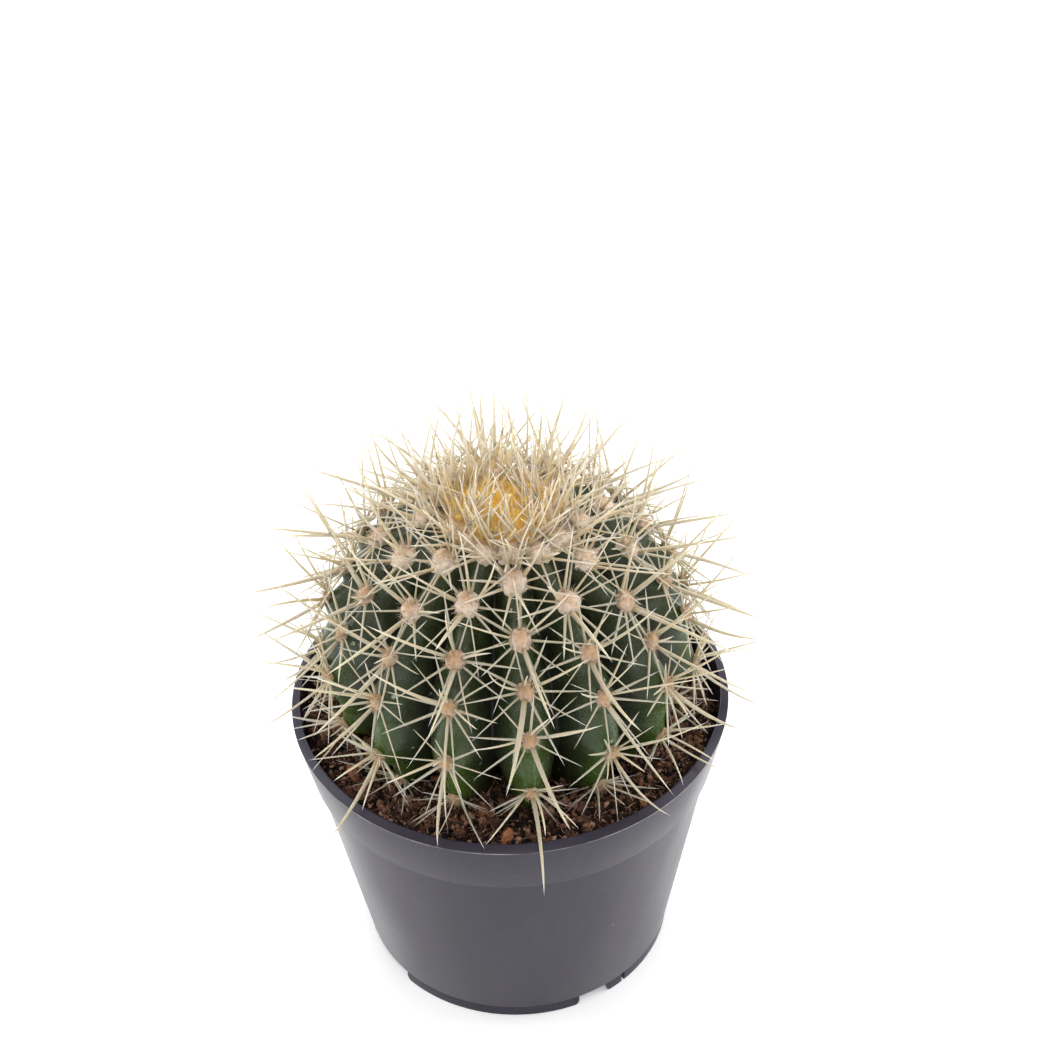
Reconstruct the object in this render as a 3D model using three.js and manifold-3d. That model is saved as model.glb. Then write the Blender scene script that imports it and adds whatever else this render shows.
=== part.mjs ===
// A round ribbed cactus growing in a tapered nursery pot.
// Millimetres, +Z up. The origin lies under the middle of the pot, on the surface it stands on.
import * as THREE from 'three';
import { mergeVertices } from 'three/addons/utils/BufferGeometryUtils.js';
import Module from 'manifold-3d';

const wasm = await Module();
wasm.setup();

// Pot
const rimRadius = 60;
const rimHeight = 85;
const lipWidth = 2.4;
const lipRise = 1.5;
const collarHeight = 16.7;
const collarFootRadius = 56.5;
const collarStep = 1;
const wallThickness = 1.3;
const wallFootRadius = 43.8;
const footHeight = 4;
const footStep = 0.4;
const footWidth = 1.9;
const footCornerRadius = 2;
const floorThickness = 1.5;
const potSides = 48;
const cutterDepth = 12;
const cornerSteps = 4;
const narrowNotch = { width: 9, azimuths: [27.4, 207.4] };
const wideNotch = { width: 20, azimuths: [-62.6, 117.4] };
const footSlit = { width: 1.2, azimuths: [41.5, 221.5] };
const drainHole = { radius: 4, ring: 31, count: 6, sides: 10 };

// Soil
const seat = 0.3;
const soilDrop = 4.2;
const soilTilt = 1.6;
const soilLump = 1.1;
const soilEdgeGap = 0.9;
const soilColumns = 44;
const soilRings = [0.55, 0.66, 0.76, 0.86, 0.94, 1];

// Cactus body
const bodyRadius = 49.7;
const bodyMiddle = 105;
const bodyRise = 46.5;
const bodyDepth = 41;
const shoulder = 1.85;
const crownRadius = 13;
const crownDimple = 3.5;
const ribCount = 14;
const ribDepth = 11.5;
const ribSharpness = 1.6;
const ribSwell = 1.3;
const firstRibAzimuth = 5.2;
const ribWobble = 2.1;
const ribColumns = [-1, -0.5, 0, 0.5];
const crownRows = [4, 8.5];
const flankRows = 13;
const rootRows = [0.3, 0.6, 0.85];

// Areoles, the felted cushions that carry the spines
const areoleSpacing = 15;
const areolePhase = 0.59;
const areoleTurn = 3 / 7;
const areoleCrowding = { shift: 4.6, at: 63, width: 15 };
const areoleTop = 14;
const areoleAboveSoil = 4;
const areoleHalfWidth = { top: 3.4, topUntil: 30, bottom: 2.2, bottomFrom: 95 };
const areoleHeight = 1.9;

// Spines
const radialSpine = { radius: 0.55, length: 19, spread: 4, lift: 20 };
const centralSpine = { radius: 0.95, length: 29, spread: 4, lift: 56 };
const radialTurns = [48, -48, 100, -100, 180];
const youngSpine = { until: 42, lift: 20, backLift: 50 };
const lowSpine = { below: 25, size: 0.75 };
const turnJitter = 16;
const liftJitter = 12;
const rootRing = 1.2;
const liftStep = 0.04;
const trimStep = 0.25;
const spineSides = 3;
const spineRoot = 1.6;
const spineReach = 72;
const spineTop = 183;
const soilClearance = 2.8;
const rimClearance = 1.4;
const spineGap = 0.35;

// Crown of wool and young spines
const woolRadius = 11.2;
const woolSeat = 0.4;
const woolRise = 3.6;
const woolSides = 18;
const woolSteps = 5;
const crownSpine = { count: 56, radius: 0.5, length: 30, spread: 5, lean: 38, tries: 30 };
const crownJitter = { lean: 14, azimuth: 40 };
const neighbourLimit = 60;
const goldenAngle = 137.508;

const radians = THREE.MathUtils.degToRad;

// A repeatable draw between 0 and 1
function seededDraw(seed) {
  let state = seed;
  return () => {
    state = (state * 1664525 + 1013904223) % 4294967296;
    return state / 4294967296;
  };
}

// Solids

function solidOf(geometry) {
  geometry.deleteAttribute('normal');
  geometry.deleteAttribute('uv');
  const merged = mergeVertices(geometry, 1e-5);
  return new wasm.Manifold(new wasm.Mesh({
    numProp: 3,
    vertProperties: new Float32Array(merged.attributes.position.array),
    triVerts: new Uint32Array(merged.index.array),
  }));
}

function geometryOf(solid) {
  const { vertProperties, triVerts } = solid.getMesh();
  const geometry = new THREE.BufferGeometry();
  geometry.setAttribute('position', new THREE.BufferAttribute(new Float32Array(vertProperties), 3));
  geometry.setIndex(new THREE.BufferAttribute(new Uint32Array(triVerts), 1));
  return geometry;
}

function piece(name, solid, color, roughness) {
  const material = new THREE.MeshStandardMaterial({ color, roughness, metalness: 0, flatShading: true });
  const mesh = new THREE.Mesh(geometryOf(solid), material);
  mesh.name = name;
  return mesh;
}

// A profile of [radius, height] pairs turned about the vertical axis
function turned(profile, sides) {
  const points = profile.map(([radius, height]) => new THREE.Vector2(radius, height));
  return new THREE.LatheGeometry(points, sides).rotateX(Math.PI / 2);
}

// A closed skin from rows of equal length between a first and a last pole
function skinned(firstPole, rows, lastPole) {
  const columns = rows[0].length;
  const positions = [firstPole, ...rows.flat(), lastPole].flatMap((point) => point.toArray());
  const index = [];
  const at = (row, column) => 1 + row * columns + (column % columns);
  for (let column = 0; column < columns; column += 1) {
    index.push(0, at(0, column), at(0, column + 1));
    for (let row = 0; row < rows.length - 1; row += 1) {
      index.push(at(row, column), at(row + 1, column), at(row + 1, column + 1));
      index.push(at(row, column), at(row + 1, column + 1), at(row, column + 1));
    }
    const last = rows.length - 1;
    index.push(at(last, column), 1 + rows.length * columns, at(last, column + 1));
  }
  const geometry = new THREE.BufferGeometry();
  geometry.setAttribute('position', new THREE.Float32BufferAttribute(positions, 3));
  geometry.setIndex(index);
  return geometry;
}

// A point at a distance from the axis, with azimuth 0 at the front and growing to the right
function polar(radius, azimuth, height) {
  const angle = radians(azimuth);
  return new THREE.Vector3(radius * Math.sin(angle), -radius * Math.cos(angle), height);
}

// Pot

const collarFootHeight = rimHeight - collarHeight;
const lipInnerRadius = rimRadius - lipWidth;
const potTop = rimHeight + lipRise;
const wallTopRadius = collarFootRadius - collarStep;
const innerCollarRadius = collarFootRadius - wallThickness;
const innerWallTop = { radius: wallTopRadius - wallThickness, height: collarFootHeight - collarStep };
const innerWallFoot = { radius: wallFootRadius - wallThickness, height: footHeight + floorThickness };
const footOuterRadius = wallFootRadius - footStep;

// Inner radius of the pot at a height
function potInside(height) {
  const [low, high] = height > collarFootHeight
    ? [{ radius: innerCollarRadius, height: collarFootHeight }, { radius: lipInnerRadius, height: potTop }]
    : [innerWallFoot, innerWallTop];
  const part = (height - low.height) / (high.height - low.height);
  return low.radius + (high.radius - low.radius) * part;
}

function potWall() {
  return turned([
    [0, footHeight],
    [footOuterRadius - footWidth, footHeight],
    [footOuterRadius - footWidth, 0],
    [footOuterRadius, 0],
    [footOuterRadius, footHeight],
    [wallFootRadius, footHeight],
    [wallTopRadius, collarFootHeight],
    [collarFootRadius, collarFootHeight],
    [rimRadius, rimHeight],
    [rimRadius - lipWidth / 3, rimHeight + lipRise * 0.7],
    [lipInnerRadius, potTop],
    [innerCollarRadius, collarFootHeight],
    [innerWallTop.radius, innerWallTop.height],
    [innerWallFoot.radius, innerWallFoot.height],
    [0, innerWallFoot.height],
  ], potSides);
}

// A gap in the foot ring that leaves round lower corners on the feet beside it
function notchCutter(width, corner) {
  const half = width / 2;
  const below = -1;
  const outline = new THREE.Shape();
  outline.moveTo(-half, footHeight);
  outline.lineTo(-half, corner);
  if (corner > 0) outline.absarc(-half - corner, corner, corner, 0, -Math.PI / 2, true);
  outline.lineTo(-half - corner, below);
  outline.lineTo(half + corner, below);
  outline.lineTo(half + corner, 0);
  if (corner > 0) outline.absarc(half + corner, corner, corner, -Math.PI / 2, -Math.PI, true);
  outline.lineTo(half, footHeight);
  const settings = { depth: cutterDepth, bevelEnabled: false, curveSegments: cornerSteps };
  const cutter = new THREE.ExtrudeGeometry(outline, settings);
  return cutter.rotateX(Math.PI / 2).translate(0, -footOuterRadius + cutterDepth / 2, 0);
}

function pot() {
  let solid = solidOf(potWall());
  const cut = (geometry, azimuth) => {
    solid = solid.subtract(solidOf(geometry.rotateZ(radians(azimuth))));
  };
  for (const { width, azimuths } of [narrowNotch, wideNotch]) {
    azimuths.forEach((azimuth) => cut(notchCutter(width, footCornerRadius), azimuth));
  }
  footSlit.azimuths.forEach((azimuth) => cut(notchCutter(footSlit.width, 0), azimuth));
  const { radius, ring, count, sides } = drainHole;
  for (let hole = 0; hole < count; hole += 1) {
    const drill = new THREE.CylinderGeometry(radius, radius, cutterDepth, sides).rotateX(Math.PI / 2);
    cut(drill.translate(0, -ring, footHeight), (360 / count) * hole);
  }
  return solid;
}

// Cactus body

// The line of a rib's crest from the middle of the crown down to the root
class CrestLine extends THREE.Curve {
  getPoint(part) {
    const angle = Math.PI / 2 - Math.PI * part;
    const sine = Math.sin(angle);
    const rise = sine > 0 ? bodyRise * sine ** (2 / shoulder) : -bodyDepth * (-sine) ** (2 / shoulder);
    const radius = bodyRadius * Math.max(0, Math.cos(angle)) ** (2 / shoulder);
    const inCrown = sine > 0 ? THREE.MathUtils.smoothstep(crownRadius * 1.5 - radius, 0, crownRadius) : 0;
    return new THREE.Vector3(radius, 0, bodyMiddle + rise - crownDimple * inCrown);
  }
}

const crest = new CrestLine();
crest.arcLengthDivisions = 800;
const crestLength = crest.getLength();

// Position and outward direction on the crest at a distance from the crown, in its own plane
function crestAt(distance) {
  const part = THREE.MathUtils.clamp(distance / crestLength, 0.0005, 0.9995);
  const point = crest.getPointAt(part);
  const tangent = crest.getTangentAt(part);
  return { radius: point.x, height: point.z, out: { radius: -tangent.z, height: tangent.x } };
}

// Ribs are numbered from the one nearest the front, and a half number is a valley
function ribAzimuth(rib) {
  return firstRibAzimuth + (360 / ribCount) * rib - ribWobble * Math.sin((2 * Math.PI * rib) / ribCount);
}

function phaseOf(rib) {
  return THREE.MathUtils.euclideanModulo(areolePhase - areoleTurn * rib, 1);
}

// Areoles counted down a crest, which stand closer together above the widest part
function areoleCount(distance) {
  const { shift, at, width } = areoleCrowding;
  return (distance + shift * Math.exp(-(((distance - at) / width) ** 2))) / areoleSpacing;
}

// Distance from the crown at which the count is reached
function areoleDistance(count) {
  let distance = count * areoleSpacing;
  for (let round = 0; round < 20; round += 1) {
    distance += (count - areoleCount(distance)) * areoleSpacing;
  }
  return distance;
}

function blendedPhase(rib) {
  const low = Math.floor(rib);
  return THREE.MathUtils.lerp(phaseOf(low), phaseOf(low + 1), rib - low);
}

// Depth of the valleys beside a crest, none in the crown and none at the root
function valleyDepth(distance) {
  const { radius, height } = crestAt(distance);
  const opening = THREE.MathUtils.smoothstep(radius, crownRadius * 0.8, bodyRadius * 0.8);
  return ribDepth * (height > bodyMiddle ? opening : Math.min(1, radius / (bodyRadius * 0.8)));
}

function bodyPoint(rib, across, distance, clearance) {
  const { radius, height, out } = crestAt(distance);
  const toAreole = areoleCount(distance) - blendedPhase(rib);
  const nearAreole = 0.5 + 0.5 * Math.cos(2 * Math.PI * toAreole);
  const depth = valleyDepth(distance);
  const swell = ribSwell * (nearAreole - 0.5) * (1 - Math.abs(across)) * (depth / ribDepth);
  const move = clearance + swell - depth * Math.abs(across) ** ribSharpness;
  return polar(radius + out.radius * move, ribAzimuth(rib + across / 2), height + out.height * move);
}

// Rows cross each crest at its areoles and halfway between them
function bodyRowDistances(rib) {
  const shift = blendedPhase(rib) - 0.5;
  const rows = [...crownRows];
  for (let row = 0; row < flankRows; row += 1) {
    rows.push(areoleDistance(1 + row / 2 + shift * Math.min(1, 0.4 + row)));
  }
  const last = rows[rows.length - 1];
  return [...rows, ...rootRows.map((part) => last + (crestLength - last) * part)];
}

function bodySkin(clearance) {
  const columns = [];
  for (let rib = 0; rib < ribCount; rib += 1) {
    for (const across of ribColumns) {
      const distances = bodyRowDistances(rib + across / 2);
      columns.push(distances.map((distance) => bodyPoint(rib, across, distance, clearance)));
    }
  }
  const rows = columns[0].map((_, row) => columns.map((column) => column[row]));
  const top = crestAt(0).height + clearance;
  const bottom = crestAt(crestLength).height - clearance;
  return skinned(new THREE.Vector3(0, 0, top), rows, new THREE.Vector3(0, 0, bottom));
}

// Soil

// Middle height of the soil, lower to the right and the back
function soilLevel(x, y) {
  return rimHeight - soilDrop - soilTilt * ((x + y * 0.5) / rimRadius);
}

function soilFill() {
  const draw = seededDraw(11);
  const edge = potInside(rimHeight - soilDrop) - soilEdgeGap;
  const rows = soilRings.map((part) => {
    const ring = [];
    for (let column = 0; column < soilColumns; column += 1) {
      const spot = polar(edge * part, (360 / soilColumns) * column, 0);
      const lump = part < 1 ? soilLump * (2 * draw() - 1) : -soilLump;
      ring.push(spot.setZ(soilLevel(spot.x, spot.y) + lump));
    }
    return ring;
  });
  const sides = [
    [innerCollarRadius - seat, collarFootHeight + seat],
    [innerWallTop.radius - seat, innerWallTop.height + seat],
    [innerWallFoot.radius - seat, innerWallFoot.height + seat],
  ];
  for (const [radius, height] of sides) {
    const ring = [];
    for (let column = 0; column < soilColumns; column += 1) {
      ring.push(polar(radius, (360 / soilColumns) * column, height));
    }
    rows.push(ring);
  }
  const top = new THREE.Vector3(0, 0, soilLevel(0, 0));
  const bottom = new THREE.Vector3(0, 0, innerWallFoot.height + seat);
  return skinned(top, rows, bottom);
}

// Spines

// Areoles as places on the body: where, which way out, which way down the rib, and how far from the crown
function areolePlaces() {
  const places = [];
  for (let rib = 0; rib < ribCount; rib += 1) {
    const azimuth = ribAzimuth(rib);
    for (let count = phaseOf(rib); areoleDistance(count) < crestLength; count += 1) {
      const distance = areoleDistance(count);
      const point = bodyPoint(rib, 0, distance, 0);
      const { out } = crestAt(distance);
      if (distance > areoleTop && point.z > soilLevel(point.x, point.y) + areoleAboveSoil) {
        places.push({
          distance,
          point,
          out: polar(out.radius, azimuth, out.height).normalize(),
          down: polar(out.height, azimuth, -out.radius).normalize(),
        });
      }
    }
  }
  return places;
}

// True where a spine would come too near the soil or the rim
function strikes(root, direction, length) {
  for (let along = spineRoot; along <= length; along += 1) {
    const point = root.clone().addScaledVector(direction, along);
    const out = Math.hypot(point.x, point.y);
    const overRim = out > lipInnerRadius - 2 * rimClearance;
    const floor = overRim ? potTop + rimClearance : soilLevel(point.x, point.y) + soilClearance;
    if (out < rimRadius + 2 * rimClearance && point.z < floor) return true;
  }
  return false;
}

// A direction lifted until the spine runs clear of the soil and the rim
function lifted(root, direction, length) {
  const clear = direction.clone();
  while (strikes(root, clear, length)) {
    clear.z += liftStep;
    clear.normalize();
  }
  return clear;
}

// Length that keeps a spine's tip inside the plant's reach and height
function reachable(root, direction, length) {
  let reach = length;
  const outside = (part) => {
    const tip = root.clone().addScaledVector(direction, part);
    return Math.hypot(tip.x, tip.y) > spineReach || tip.z > spineTop;
  };
  while (outside(reach)) reach -= trimStep;
  return reach;
}

// A spine's axis runs from a root, sunk in what it grows from, along a direction
function spineAxis(root, aim, radius, wish) {
  const direction = lifted(root, aim.normalize(), wish);
  return { root, direction, radius, length: reachable(root, direction, wish) };
}

function spinesOf(place, draw) {
  const across = new THREE.Vector3().crossVectors(place.out, place.down);
  const height = place.point.z - soilLevel(place.point.x, place.point.y);
  const low = 1 - THREE.MathUtils.smoothstep(height, areoleAboveSoil, lowSpine.below);
  const size = THREE.MathUtils.lerp(1, lowSpine.size, low);
  const young = 1 - THREE.MathUtils.smoothstep(place.distance, areoleTop, youngSpine.until);
  const wanted = radialTurns.map((turn) => {
    const erect = Math.abs(turn) > 90 ? youngSpine.backLift : youngSpine.lift;
    return { ...radialSpine, turn, lift: radialSpine.lift + erect * young };
  });
  wanted.push({ ...centralSpine, turn: 0, lift: centralSpine.lift + youngSpine.lift * 0.5 * young });
  return wanted.map(({ radius, length, spread, lift, turn }) => {
    const angle = radians(turn + turnJitter * (draw() - 0.5));
    const rise = radians(lift + liftJitter * (draw() - 0.5));
    const side = place.down.clone().multiplyScalar(Math.cos(angle)).addScaledVector(across, Math.sin(angle));
    const aim = side.clone().multiplyScalar(Math.cos(rise)).addScaledVector(place.out, Math.sin(rise));
    const root = place.point.clone().addScaledVector(side, rootRing).addScaledVector(aim, -spineRoot);
    return spineAxis(root, aim, radius, (length + spread * (2 * draw() - 1)) * size + spineRoot);
  });
}

// A straight tapering spine on its axis
function spineSolid({ root, direction, radius, length }) {
  const needle = new THREE.ConeGeometry(radius, length, spineSides).translate(0, length / 2, 0);
  const turn = new THREE.Quaternion().setFromUnitVectors(new THREE.Vector3(0, 1, 0), direction);
  return solidOf(needle.applyQuaternion(turn).translate(root.x, root.y, root.z));
}

function areoleCushion(place) {
  const { top, topUntil, bottom, bottomFrom } = areoleHalfWidth;
  const shrink = THREE.MathUtils.smoothstep(place.distance, topUntil, bottomFrom);
  const half = THREE.MathUtils.lerp(top, bottom, shrink);
  const cushion = new THREE.OctahedronGeometry(1, 0).scale(half, half, areoleHeight);
  const across = new THREE.Vector3().crossVectors(place.down, place.out);
  const frame = new THREE.Matrix4().makeBasis(across, place.down, place.out);
  return solidOf(cushion.applyMatrix4(frame.setPosition(place.point)));
}

// Solids joined two by two
function joined(solids) {
  if (solids.length === 1) return solids[0];
  const middle = Math.ceil(solids.length / 2);
  return joined(solids.slice(0, middle)).add(joined(solids.slice(middle)));
}

// The largest body of a solid, with loose scraps left off
function largest(solid) {
  return solid.decompose().reduce((best, part) => (part.volume() > best.volume() ? part : best));
}

const bodyDraw = seededDraw(5);
const bunches = areolePlaces().map((place) => ({ place, axes: spinesOf(place, bodyDraw) }));

function cactus() {
  const grown = bunches.map(({ place, axes }) => joined([areoleCushion(place), ...axes.map(spineSolid)]));
  return largest(joined([solidOf(bodySkin(0)), ...grown]));
}

// Crown

function crownWool() {
  const profile = [];
  for (let step = 0; step <= woolSteps; step += 1) {
    const { radius, height } = crestAt((woolRadius * step) / woolSteps);
    profile.push([step === 0 ? 0 : radius, height + woolSeat]);
  }
  const [edgeRadius, edgeHeight] = profile[woolSteps];
  for (let step = 1; step <= woolSteps; step += 1) {
    const angle = (Math.PI / 2) * (step / woolSteps);
    const radius = step === woolSteps ? 0 : edgeRadius * Math.cos(angle);
    profile.push([radius, edgeHeight + woolRise * Math.sin(angle)]);
  }
  return turned(profile, woolSides);
}

// True where an axis comes too near one of the body's own spines
function meetsBodySpine({ root, direction, radius, length }) {
  const nearest = new THREE.Vector3();
  const others = bunches.filter(({ place }) => place.distance < neighbourLimit).flatMap(({ axes }) => axes);
  return others.some((other) => {
    const end = other.root.clone().addScaledVector(other.direction, other.length);
    const line = new THREE.Line3(other.root, end);
    for (let along = 0; along <= length; along += 0.5) {
      const point = root.clone().addScaledVector(direction, along);
      line.closestPointToPoint(point, true, nearest);
      if (point.distanceTo(nearest) < radius + other.radius + spineGap) return true;
    }
    return false;
  });
}

function crown() {
  const draw = seededDraw(23);
  const axes = [];
  for (let i = 0; i < crownSpine.count; i += 1) {
    const part = Math.sqrt((i + 0.5) / crownSpine.count);
    const azimuth = goldenAngle * i;
    const seatHeight = crestAt(woolRadius * part).height + woolSeat;
    const root = polar(woolRadius * 0.88 * part, azimuth, seatHeight + crownSpine.radius);
    for (let attempt = 0; attempt < crownSpine.tries; attempt += 1) {
      const upright = 1 - attempt / crownSpine.tries;
      const lean = radians(crownSpine.lean * part * upright + crownJitter.lean * (draw() - 0.5));
      const aim = polar(Math.sin(lean), azimuth + crownJitter.azimuth * (draw() - 0.5), Math.cos(lean));
      const wish = crownSpine.length + crownSpine.spread * (2 * draw() - 1);
      const axis = spineAxis(root, aim, crownSpine.radius, wish);
      if (!meetsBodySpine(axis)) {
        axes.push(axis);
        break;
      }
    }
  }
  return largest(joined([solidOf(crownWool()), ...axes.map(spineSolid)]));
}

// Assembly

const plant = new THREE.Group();
plant.add(
  piece('pot', pot(), 0x5b5860, 0.5),
  piece('soil', solidOf(soilFill()).subtract(solidOf(bodySkin(seat))), 0x4a2c20, 1),
  piece('cactus', cactus(), 0x39543b, 0.55),
  piece('crown', crown(), 0xdcb85a, 0.9),
);

export default plant;
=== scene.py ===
# A round ribbed cactus in a tapered nursery pot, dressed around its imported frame.
# Metres, +Z up, -Y to the front. Azimuths are degrees from the front, growing to the right.
import math
import random

import bpy
import numpy as np
from bpy.props import FloatProperty, FloatVectorProperty, IntProperty, PointerProperty
from mathutils import Matrix, Vector, noise


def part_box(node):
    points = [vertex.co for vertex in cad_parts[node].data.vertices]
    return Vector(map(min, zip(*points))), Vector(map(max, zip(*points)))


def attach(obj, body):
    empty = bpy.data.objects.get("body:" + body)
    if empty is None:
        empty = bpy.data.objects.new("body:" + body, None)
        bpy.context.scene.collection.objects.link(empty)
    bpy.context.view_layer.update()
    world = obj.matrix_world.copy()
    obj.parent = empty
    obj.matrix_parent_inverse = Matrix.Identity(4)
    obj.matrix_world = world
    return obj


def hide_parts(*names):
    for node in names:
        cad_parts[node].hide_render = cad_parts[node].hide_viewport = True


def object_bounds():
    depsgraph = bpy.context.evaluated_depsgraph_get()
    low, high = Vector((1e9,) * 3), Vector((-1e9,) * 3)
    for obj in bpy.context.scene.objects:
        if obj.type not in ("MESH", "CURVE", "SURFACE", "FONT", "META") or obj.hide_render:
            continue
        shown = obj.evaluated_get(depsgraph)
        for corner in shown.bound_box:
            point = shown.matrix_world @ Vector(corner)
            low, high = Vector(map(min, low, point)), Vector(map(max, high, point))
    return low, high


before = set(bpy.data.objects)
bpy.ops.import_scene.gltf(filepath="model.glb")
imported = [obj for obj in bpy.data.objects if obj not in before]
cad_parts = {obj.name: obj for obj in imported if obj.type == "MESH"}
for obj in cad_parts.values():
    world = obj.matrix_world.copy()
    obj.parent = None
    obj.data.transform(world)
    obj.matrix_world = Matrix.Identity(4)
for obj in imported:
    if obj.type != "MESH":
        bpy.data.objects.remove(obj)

bl_info = {
    "name": "Potted round cactus",
    "version": (1, 0, 0),
    "blender": (4, 5, 0),
    "location": "3D View > Sidebar > Cactus",
    "description": "Dresses a round ribbed cactus in its nursery pot",
    "category": "Add Mesh",
}

MM = 0.001
CAD_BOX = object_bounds()
POT_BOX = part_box("pot")


# Settings


def length(name, description, default):
    return FloatProperty(name=name, description=description, default=default, min=0, unit="LENGTH")


def colour(name, description, default):
    return FloatVectorProperty(
        name=name, description=description, default=default, size=3, min=0, max=1, subtype="COLOR"
    )


def whole_number(name, description, default, least=0):
    return IntProperty(name=name, description=description, default=default, min=least)


def amount(name, description, default, **limits):
    return FloatProperty(name=name, description=description, default=default, **limits)


class PotSettings(bpy.types.PropertyGroup):
    lip_rise: length("Lip rise", "Height of the sloping lip above its outer edge", 1.5 * MM)
    lip_width: length("Lip width", "Width of the sloping lip", 2.4 * MM)
    collar_height: length("Collar height", "Height of the collar below the rim's outer edge", 16.7 * MM)
    collar_foot: length("Collar foot radius", "Radius at the foot of the collar", 56.5 * MM)
    collar_step: length("Collar step", "Step from the collar in to the wall", 1 * MM)
    wall: length("Wall thickness", "Thickness of the wall", 1.3 * MM)
    wall_foot: length("Wall foot radius", "Outer radius at the foot of the wall", 43.8 * MM)
    foot_height: length("Foot height", "Height of the foot ring", 4 * MM)
    foot_step: length("Foot step", "Step from the wall in to the foot ring", 0.4 * MM)
    foot_width: length("Foot width", "Width of the foot ring", 1.9 * MM)
    foot_corner: length("Foot corner radius", "Rounding of the feet's lower corners", 2 * MM)
    floor: length("Floor thickness", "Thickness of the floor", 1.5 * MM)
    drain_radius: length("Drain hole radius", "Radius of a drain hole", 4 * MM)
    drain_ring: length("Drain ring radius", "Distance of the drain holes from the middle", 31 * MM)
    drain_count: whole_number("Drain holes", "Number of drain holes", 6)
    plastic: colour("Plastic", "Colour of the pot's plastic", (0.0190, 0.0155, 0.0284))
    # Painted highlight: a pale line painted along the rim's outer edge, where the light catches its rounded
    # corner.
    rim_highlight: colour("Rim highlight", "Colour of the painted highlight of the rim", (0.34, 0.32, 0.33))
    dust: colour("Dust", "Colour of the dust on the pot", (0.15, 0.13, 0.135))


class SoilSettings(bpy.types.PropertyGroup):
    drop: length("Drop", "Depth of the soil below the rim's outer edge", 4.2 * MM)
    tilt: length("Tilt", "Fall of the soil across the pot's radius", 1.6 * MM)
    clod_size: length("Clod size", "Width of a clod of soil", 5.5 * MM)
    clod_rise: length("Clod rise", "Height of a clod of soil", 2.4 * MM)
    crumbs: whole_number("Crumbs", "Number of loose crumbs", 9400)
    chips: whole_number("Bark chips", "Number of bark chips", 44)
    fibres: whole_number("Fibres", "Number of coir fibres", 3000)
    dark: colour("Dark soil", "Colour of the soil in its gaps", (0.009, 0.0045, 0.003))
    brown: colour("Brown soil", "Main colour of the soil", (0.104, 0.050, 0.030))
    rust: colour("Rusty soil", "Colour of clods of coir", (0.21, 0.098, 0.054))
    light: colour("Light soil", "Colour of dry crumbs and fibres", (0.47, 0.275, 0.185))
    bark: colour("Bark", "Colour of fresh bark", (0.40, 0.15, 0.055))


class PlantSettings(bpy.types.PropertyGroup):
    radius: length("Radius", "Radius over the crests at the middle height", 49.7 * MM)
    middle: length("Middle height", "Height at which the body is widest", 105 * MM)
    rise: length("Rise", "Height of the body above its middle", 46.5 * MM)
    depth: length("Depth", "Depth of the body below its middle", 41 * MM)
    shoulder: amount("Shoulder", "Fullness of the outline, 2 for an ellipse", 1.85, min=1)
    crown_radius: length("Crown radius", "Radius of the dimple at the crown", 13 * MM)
    crown_dimple: length("Crown dimple", "Depth of the dimple at the crown", 3.5 * MM)
    ribs: whole_number("Ribs", "Number of ribs", 14, least=3)
    rib_depth: length("Rib depth", "Depth of the valleys between the ribs", 11.5 * MM)
    rib_sharpness: amount("Rib sharpness", "How soon a flank falls from its crest", 1.6, min=1)
    rib_swell: length("Rib swell", "Swelling of a crest at its areoles", 1.3 * MM)
    chin: length("Chin", "Bulge of the rib just below an areole", 1.1 * MM)
    first_rib: amount("First rib", "Azimuth of the front rib", 5.2)
    rib_wobble: amount("Rib wobble", "Unevenness of the ribs' azimuths", 2.1)
    areole_spacing: length("Areole spacing", "Distance between areoles along a rib", 15 * MM)
    areole_phase: amount("Areole phase", "Place of the first areole", 0.59)
    areole_turn: amount("Areole turn", "Shift of the areoles from rib to rib", 3 / 7)
    crowding: length("Crowding", "How far the areoles are drawn up above the widest part", 4.6 * MM)
    crowding_at: length("Crowding place", "Distance from the crown of the most crowded areoles", 63 * MM)
    crowding_width: length("Crowding width", "Reach of the crowding along a rib", 15 * MM)
    # Painted shade: the skin is painted near black in the valleys, where shade falls between the ribs.
    valley_shade_green: colour("Valley shade", "Colour of the skin in the valleys", (0.007, 0.0075, 0.003))
    green: colour("Green", "Colour of the skin on the flanks", (0.0195, 0.0305, 0.0075))
    cool_green: colour("Cool green", "Colour of the bluish patches on the flanks", (0.009, 0.030, 0.016))
    fresh_green: colour("Fresh green", "Colour of the lower crests", (0.038, 0.082, 0.005))
    # A real waxy bloom, laid on more thickly towards the top as a painted sheen that stands in for the grey
    # reflection on the upper body.
    bloom: colour("Bloom", "Colour of the waxy bloom on the upper body", (0.085, 0.098, 0.052))
    pale_felt: colour("Pale felt", "Colour of the felt closest to the crown", (0.88, 0.74, 0.60))
    felt: colour("Felt", "Colour of young areole felt", (0.60, 0.43, 0.30))
    old_felt: colour("Old felt", "Colour of old areole felt", (0.47, 0.325, 0.195))
    tan_felt: colour("Tan felt", "Colour of the felt among the roots of the spines", (0.50, 0.29, 0.135))
    wool: colour("Wool", "Colour of the crown's wool", (0.92, 0.63, 0.11))
    pale_wool: colour("Pale wool", "Colour of the tufts in the wool", (0.84, 0.65, 0.38))
    deep_wool: colour("Deep wool", "Colour deep in the crown's wool", (0.84, 0.49, 0.035))


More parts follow.
